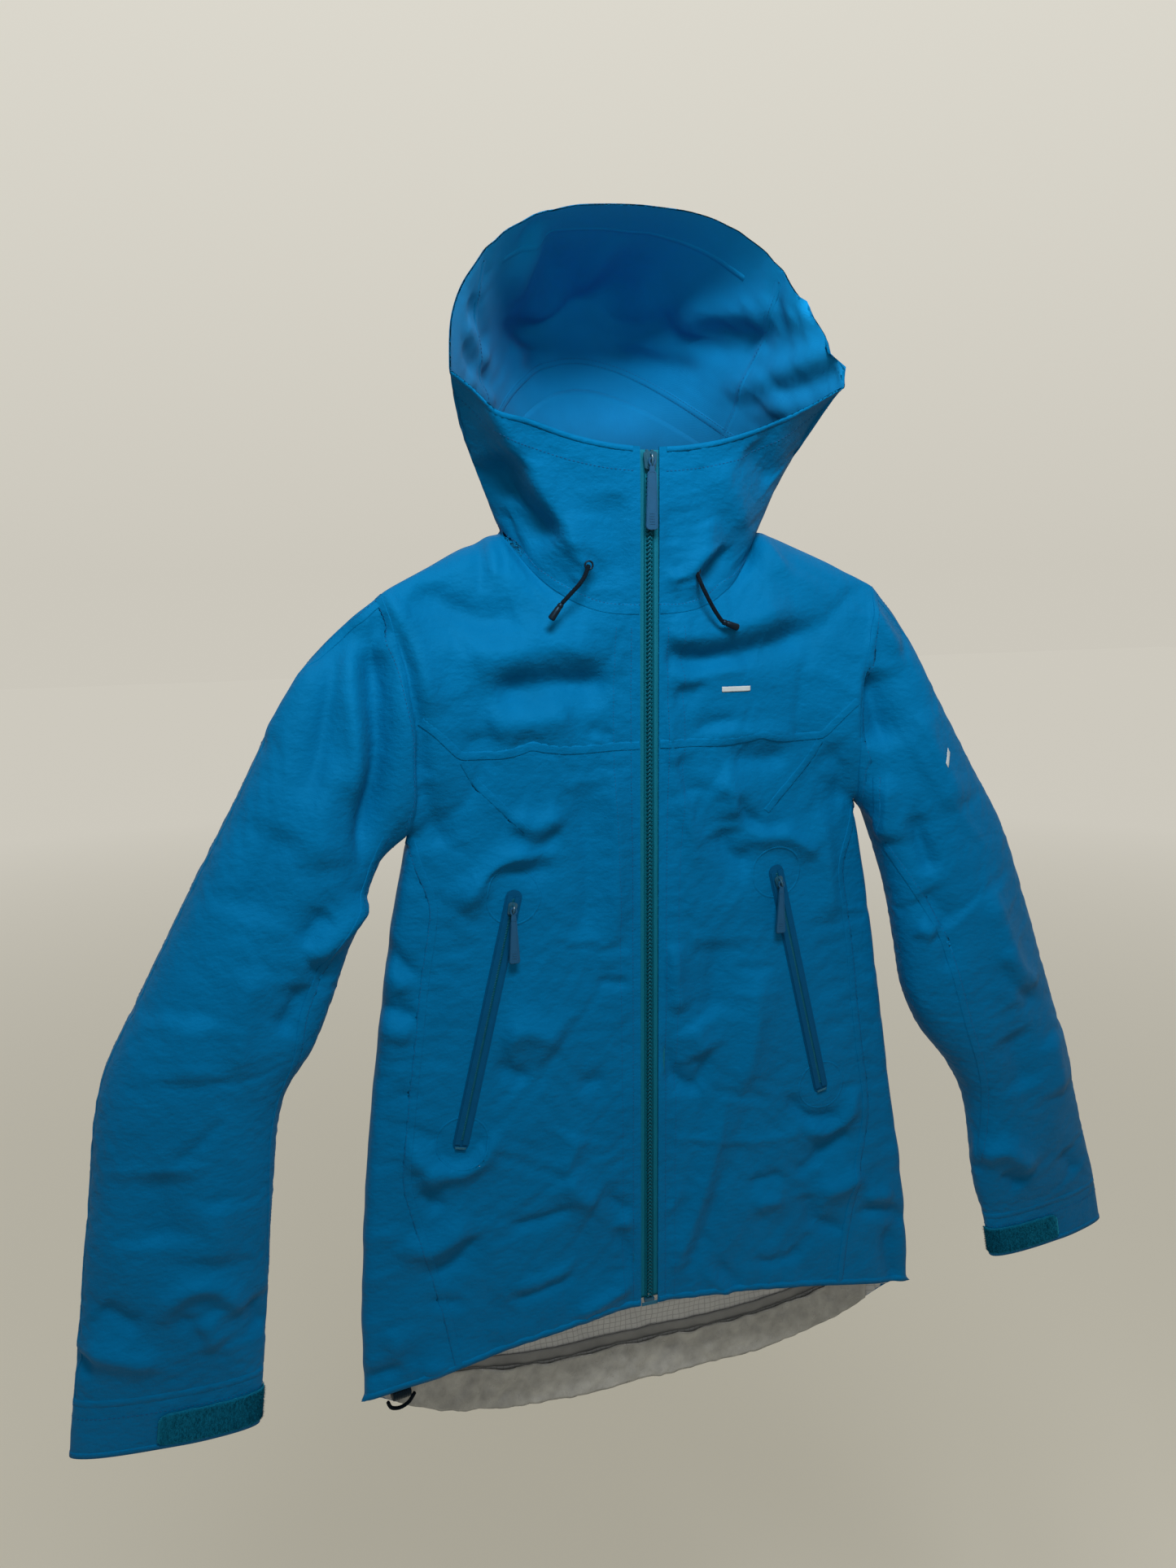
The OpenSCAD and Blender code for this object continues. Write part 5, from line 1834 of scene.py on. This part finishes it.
def pockets():
    rings = [weld_ring(center, side, sign) for side, sign in SIDES for center in (POCKET_TOP, POCKET_LOW)]
    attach(mesh_object("pocket_weld_rings", *joined(rings), [SHELL]), "shell")
    body, neck, bridge = pocket_slider()
    for piece in (body, neck, bridge):
        placed(piece, (POCKET_PIN[0], 0, POCKET_PIN[2]), -POCKET_TURN)
    pull = placed(pull_tab("pocket_pull_strap", 42, 2.3, 4.2, 2, 3), POCKET_PIN)
    tack_rows = [(WELT_Y - 1.5, -POCKET_LENGTH - 4.4 + 0.55 * k) for k in range(3)]
    band, coil, tack = welt(), welt_zip(), bar_tack("tack", 4.4, tack_rows, 0.3)
    for piece in (band, coil, tack):
        placed(piece, (POCKET_TOP[0], 0, POCKET_TOP[1]), -POCKET_TURN)
    for right, kind, slot, rides, stands in (
            (band, "pocket_welt", "pocket_welt", "shell", True),
            (coil, "pocket_coil", "zip_coil", "shell", False),
            (tack, "pocket_tack", "zip_end", "shell", False),
            (body, "pocket_slider", "zip_slider", "pocket_slider_", True),
            (neck, "pocket_neck", "zip_slider", "pocket_slider_", False),
            (bridge, "pocket_bridge", "zip_slider", "pocket_slider_", False),
            (pull, "pocket_pull_tab", "pull_tab", "pocket_pull_tab_", True)):
        right.name = kind + "_right_piece"
        left = mirror_copy(right, kind + "_left_piece")
        for obj, side in ((right, "right"), (left, "left")):
            body_name = rides if rides == "shell" else rides + side
            in_frame(obj, body_name, kind + "_" + side if stands else None)
    pocket_bags()


def pocket_bags():
    """Mesh bags behind the pockets, cut away at the top outer corner."""
    x, z = np.meshgrid(np.linspace(BAG_INNER_X, BAG_OUTER_X, 30), np.linspace(BAG_TOP_Z, BAG_LOW_Z, 56))
    keep = np.minimum(x, BAG_OUTER_X - 60 * smooth((z + 292) / 54))
    points = np.stack([keep, np.full(x.shape, FRONT_Y + 10.8), z], -1).reshape(-1, 3)
    points[:, 1] += 0.45 * soft_noise(points, 24, 31)
    right = sheet_object("pocket_bag_right_mesh", points, points + [0, 1.2, 0], x.shape, BAG)
    left = mirror_copy(right, "pocket_bag_left_mesh")
    for obj, side in ((right, "right"), (left, "left")):
        in_frame(obj, "shell", "pocket_bag_" + side)


# ---------------------------------------------------------------- cords, loop and toggles
HOOD_CORD_RIGHT = [(36, -86, -38), (39, -88, -47), (44, -90, -58), (50, -90, -68), (56, -90, -76)]
HOOD_CORD_LEFT = [(49, -86, -33), (53, -88, -41), (58, -90, -47), (64, -90, -53), (71, -90, -60)]
HEM_CORD = [(-197, -58, -699), (-202, -56, -708), (-209, -55, -712), (-216, -57, -709), (-219, -60, -701)]
CORD_RADIUS = 1.5
CORD_STEP = 0.9
LOCK_RADIUS = 5
HEM_LOCK = (-208, -58, -696)
LOOP_OUTER = (29.9, 15.9)      # half width and rise of the arch outside the tape
LOOP_INNER = (28.65, 14.65)
LOOP_HALF = 3


def braid(name, route, strands=6, turns_mm=9):
    """Woven cord: a core along the route and crossing strands round it."""
    line = curve(route, CORD_STEP)
    side, up = frame_along(line)
    run = np.arange(len(line)) * CORD_STEP
    cover_paths = []
    for k in range(strands):
        for hand in (-1, 1):
            a = hand * 2 * np.pi * run / turns_mm + 2 * np.pi * k / strands
            weave = CORD_RADIUS * (0.8 + 0.1 * np.sin(strands * a * 0.5))
            cover_paths.append(line + weave[:, None] * circle(side, up, a))
    core = shade(tubes(name, [line], CORD_RADIUS * 0.84, CORD, 10), 80)
    cover = shade(tubes(name + "_braid", cover_paths, CORD_RADIUS * 0.26, CORD, 5), 80)
    return core, cover, line


def cord_end(name, start, end):
    """Slim moulded end, wider at its tip, with two rings."""
    t = np.array([0, 0.04, 0.12, 0.2, 0.24, 0.28, 0.5, 0.9, 0.97, 1])
    r = np.array([1.5, 2.1, 2.25, 2.25, 1.95, 2.3, 2.45, 2.75, 2.5, 1.7])
    return shade(tubes(name, [start + (end - start) * t[:, None]], r, CORD_END, 20), 40)


def hood_cords():
    for side, route, slant, sign in (("right", HOOD_CORD_RIGHT, 111, 1), ("left", HOOD_CORD_LEFT, 143, -1)):
        points = np.array(route, float) * [sign, 1, 1]
        core, cover, line = braid("hood_cord_%s_line" % side, points)
        slope = math.radians(slant)
        way = np.array([sign * math.sin(slope), 0, math.cos(slope)])
        tip = points[-1] + way * 0.4
        cap = cord_end("cord_cap_%s_piece" % side, tip, tip + way * 14)
        in_frame(core, "shell", "hood_cord_" + side)
        in_frame(cover, "shell")
        in_frame(cap, "shell", "cord_cap_" + side)
        turns = np.linspace(0, 2 * np.pi, 17)
        ring = [points[0] + [3 * math.cos(a), -0.4, 3 * math.sin(a)] for a in turns]
        eye = shade(tubes("cord_eye_" + side, [curve(ring, 0.8)], 0.7, CORD_END), 80)
        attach(eye, "shell")


def barrel(name, center, half, turn):
    """Cord lock: a ribbed barrel with a sprung button in its end."""
    t = np.linspace(-1, 1, 33)
    ribs = 1 - 0.05 * (np.sin(t * 26) > 0.4)
    r = LOCK_RADIUS * np.where(np.abs(t) > 0.96, 0.72, np.where(np.abs(t) > 0.9, 0.9, ribs))
    way = np.array([math.cos(turn), math.sin(turn), 0])
    return shade(tubes(name, [center + way * half * t[:, None]], r, TOGGLE, 24), 30)


def cords_and_toggles():
    hood_cords()
    core, cover, line = braid("hem_cord_line", HEM_CORD)
    in_frame(core, "shell", "hem_cord")
    in_frame(cover, "shell")
    lock = barrel("hem_toggle_lock", np.array(HEM_LOCK), 8, math.radians(10))
    rear = barrel("hood_rear_toggle_lock", REAR_LOCK, 9, 0)
    in_frame(lock, "shell", "hem_toggle")
    in_frame(rear, "shell", "hood_rear_toggle")
    hang_loop()


def hang_loop():
    """Folded tape: a flat band along an arch."""
    angle = np.linspace(0, np.pi, 60)[:, None, None]
    across = np.linspace(-LOOP_HALF, LOOP_HALF, 13)
    ribs = 0.1 * np.cos(across * 4.2) * (np.abs(across) < LOOP_HALF - 0.1)
    rows = []
    for y, wide, high in ([(y, LOOP_OUTER[0] + rib, LOOP_OUTER[1] + rib) for y, rib in zip(across, ribs)]
                          + [(y, *LOOP_INNER) for y in across[::-1]]):
        rows.append(np.concatenate([wide * np.cos(angle), 0 * angle + y, high * np.sin(angle) - 16], -1))
    grid = np.concatenate(rows, 1)
    obj = mesh_object("hang_loop_tape", grid.reshape(-1, 3), grid_faces(*grid.shape[:2], ring=True), [CORD])
    turn_outward(obj)
    in_frame(obj, "shell", "hang_loop")


# ---------------------------------------------------------------- cuffs and marks
HAIRS = 5200


def fibres(grid, rows, cols, count, high):
    """Short bent hairs standing on part of a grid."""
    places = np.stack([rng.uniform(*rows, count), rng.uniform(*cols, count)], -1)
    out = normal_at(grid, places)
    root = sample(grid, places) + out * high
    lean_way = rng.normal(size=(count, 3)) * 0.7
    middle = root + out * rng.uniform(0.4, 0.8, (count, 1)) + lean_way * 0.4
    tip = middle + out * rng.uniform(0.0, 0.5, (count, 1)) + rng.normal(size=(count, 3)) * 0.6
    side = unit(np.cross(out, lean_way)) * 0.13
    points = np.stack([root - side, root + side, middle + side * 0.8, middle - side * 0.8,
                       tip + side * 0.3, tip - side * 0.3], 1).reshape(-1, 3)
    quads = np.array([[0, 1, 2, 3], [3, 2, 4, 5]])
    faces = (quads[None] + 6 * np.arange(count)[:, None, None]).reshape(-1, 4)
    return points, np.concatenate([faces, faces[:, ::-1]])


def loop_patch(side):
    """Patch of loops round the front of the cuff, with rounded ends."""
    grid = "sleeve_" + side
    first, last = cuff_row(side), cloth.grids[grid][1] - 1
    top, low = mix(first, last, 0.24), mix(first, last, 0.86)
    left, right = -10 / 3, 95 / 3
    down, along = np.meshgrid(np.linspace(-1, 1, 16), np.linspace(0, 1, 70), indexing="ij")
    corner = np.clip(np.minimum(along, 1 - along) / 0.07, 0, 1)
    round_ends = 0.62 + 0.38 * np.sqrt(1 - (1 - corner) ** 2)
    places = np.stack([mix(top, low, 0.5 + 0.5 * down * round_ends), mix(left, right, along)], -1)
    layer(grid, places, 0.5, PILE, "loop_patch_" + side, 0.9, body=grid)
    hair = fibres(grid, (top + 0.2, low - 0.2), (left + 0.4, right - 0.4), HAIRS, 1.2)
    in_frame(mesh_object("loop_pile_" + side, *hair, [PILE], flat=True), grid)


# Half outlines of the cuff tab and its hooked face: distance from the hinge, half height
TAB_OUTLINE = [(0, 12.9), (20, 12.6), (40, 12.2), (56, 11.5), (60.5, 8), (61.8, 0)]
HOOK_OUTLINE = [(32, 9.5), (54, 9), (58, 5), (58.6, 0)]


def both_halves(half):
    """Closed outline of a shape that is the same above and below its last place."""
    return [(-x, z) for x, z in half] + [(-x, -z) for x, z in half[-2::-1]]


def cuff_tab(side, sign):
    """Rounded tab of doubled cloth with a hooked face, on the back of the cuff."""
    node = "cuff_tab_" + side
    outer_x, outer_z, inner_x, inner_z = SLEEVES[side][-1][:4]
    tilt = math.atan2(outer_z - inner_z, outer_x - inner_x)
    body = shade(plates(node + "_cloth", SHELL, (both_halves(TAB_OUTLINE), -0.65, 0.65, 0.4)), 40)
    hook = shade(plates(node + "_hook", PILE, (both_halves(HOOK_OUTLINE), -1.3, -0.6, 0.2)), 40)
    stitches = []
    for x in np.arange(2.5, 58, 3.1):
        for z in (-10.6, 10.6):
            dash = [(-x - 1, z - 0.25), (-x + 1, z - 0.25), (-x + 1, z + 0.25), (-x - 1, z + 0.25)]
            stitches.append((dash, 0.6, 0.85, 0.05))
    thread = plates(node + "_thread", THREAD, *stitches)
    for obj in (body, hook, thread):
        placed(obj, (0, 0, 0), tilt)
        if sign < 0:
            mirror(obj.data)
        placed(obj, PINS["cuff_tab_peel_" + side])
        in_frame(obj, node, node if obj == body else None)


def marks():
    """Plain reflective bars on the chest and the sleeve."""
    chest = np.array([[front_place(x, z) for x in CHEST_MARK[0] + np.linspace(-12, 12, 30)]
                      for z in CHEST_MARK[1] + np.linspace(2, -2, 6)])
    arm = block([arm_row("right", section) for section in (2.3, 2.38)], (112 / 3, 124 / 3), (6, 20))
    for grid, places, node, body in (("front_right", chest, "chest_mark", "shell"),
                                     ("sleeve_right", arm, "sleeve_mark", "sleeve_right")):
        layer(grid, places, 0.25, REFLECTIVE, node, 0.3, body)


# ---------------------------------------------------------------- stage
# Colours of the surroundings
HORIZON = (0.6, 0.573, 0.505)
OVERHEAD = (0.71, 0.685, 0.61)
BEHIND_CAMERA = (0.45, 0.46, 0.48)
WHITE = (1, 1, 1)

CAMERA_PLACE = (-0.312, -0.903, -0.035)    # metres
CAMERA_TURNS = ((-17.7, "Z"), (90 - 10.6, "X"), (-0.57, "Z"))
CAMERA_LENS = 26.5
FLOOR_HALF = 20000
FLOOR_Z = -1900
# Name, place, aim and size in metres, and power in watts
LIGHTS = (("top", (-0.12, -0.7, 0.62), (0, 0, -0.05), (0.45, 0.25), 16.5),
          ("front", (-0.4, -1.7, 0.3), (0, 0, 0), (0.5, 0.5), 4))


def area_light(name, place, aim, size, power):
    data = bpy.data.lights.new(name, "AREA")
    data.shape = "RECTANGLE"
    data.size, data.size_y = size
    data.energy = power
    light = linked(name, data)
    light.location = place
    light.rotation_euler = (Vector(aim) - Vector(place)).to_track_quat("-Z", "Y").to_euler()


def camera():
    data = bpy.data.cameras.new("camera")
    data.sensor_width = 36
    data.lens = CAMERA_LENS
    cam = linked("camera", data)
    place = Matrix.Translation(CAMERA_PLACE)
    for angle, axis in CAMERA_TURNS:
        place = place @ Matrix.Rotation(math.radians(angle), 4, axis)
    cam.matrix_world = place
    bpy.context.scene.camera = cam


def floor():
    """Pale floor that passes into the colour of the horizon far away, where its own colour fades out and it
    glows in the horizon colour instead (painted light).
    """
    m = Nodes("floor", (0.74, 0.72, 0.65), 0.95, specular=0.05)
    length = m.tree.nodes.new("ShaderNodeVectorMath")
    length.operation = "LENGTH"
    m.link(m.place, length.inputs[0])
    far = m.math("SUBTRACT", m.math("MULTIPLY", length.outputs["Value"], 0.17), 0.42)
    far = m.math("MINIMUM", m.math("MAXIMUM", far, 0), 1)
    # Far away the floor glows in the horizon colour instead of being lit (painted light).
    m.tint(far, 1, 0)
    m.set("Emission Color", (*HORIZON, 1))
    m.link(far, m.shader.inputs["Emission Strength"])
    corners = [(x * FLOOR_HALF, y * FLOOR_HALF, FLOOR_Z) for x, y in ((-1, -1), (1, -1), (1, 1), (-1, 1))]
    mesh_object("floor", corners, [[0, 1, 2, 3]], [m.material], flat=True)


def color_mix(tree, kind, factor, first, second):
    """Mix of two colours, each given as a colour or as a socket."""
    node = tree.nodes.new("ShaderNodeMix")
    node.data_type = "RGBA"
    node.blend_type = kind
    for socket, value in zip((node.inputs[0], node.inputs[6], node.inputs[7]), (factor, first, second)):
        if isinstance(value, bpy.types.NodeSocket):
            tree.links.new(value, socket)
        else:
            socket.default_value = value
    return node.outputs[2]


def pale_world():
    """Pale surroundings: brightest overhead behind the jacket, dimmer behind the camera, so
    that the light on the front comes mostly from above."""
    world = bpy.data.worlds.new("world")
    world.use_nodes = True
    tree = world.node_tree
    place = tree.nodes.new("ShaderNodeTexCoord")
    split = tree.nodes.new("ShaderNodeSeparateXYZ")
    tree.links.new(place.outputs["Generated"], split.inputs[0])
    colors = []
    for axis, first, last, dark, light in ((2, 0.0, 0.4, HORIZON, OVERHEAD),
                                           (1, -0.6, 0.5, BEHIND_CAMERA, WHITE)):
        spread = tree.nodes.new("ShaderNodeMapRange")
        spread.inputs["From Min"].default_value = first
        spread.inputs["From Max"].default_value = last
        tree.links.new(split.outputs[axis], spread.inputs[0])
        colors.append(color_mix(tree, "MIX", spread.outputs[0], (*dark, 1), (*light, 1)))
    both = color_mix(tree, "MULTIPLY", 1, *colors)
    tree.links.new(both, tree.nodes["Background"].inputs["Color"])
    bpy.context.scene.world = world
    bpy.context.scene.view_settings.view_transform = "Standard"


def stage():
    floor()
    for light in LIGHTS:
        area_light(*light)
    pale_world()


camera()
body_panels()
hood_panels()
sleeve_panels()
seams()
linings()
main_zip()
pockets()
cords_and_toggles()
for side, sign in SIDES:
    loop_patch(side)
    cuff_tab(side, sign)
marks()
stage()
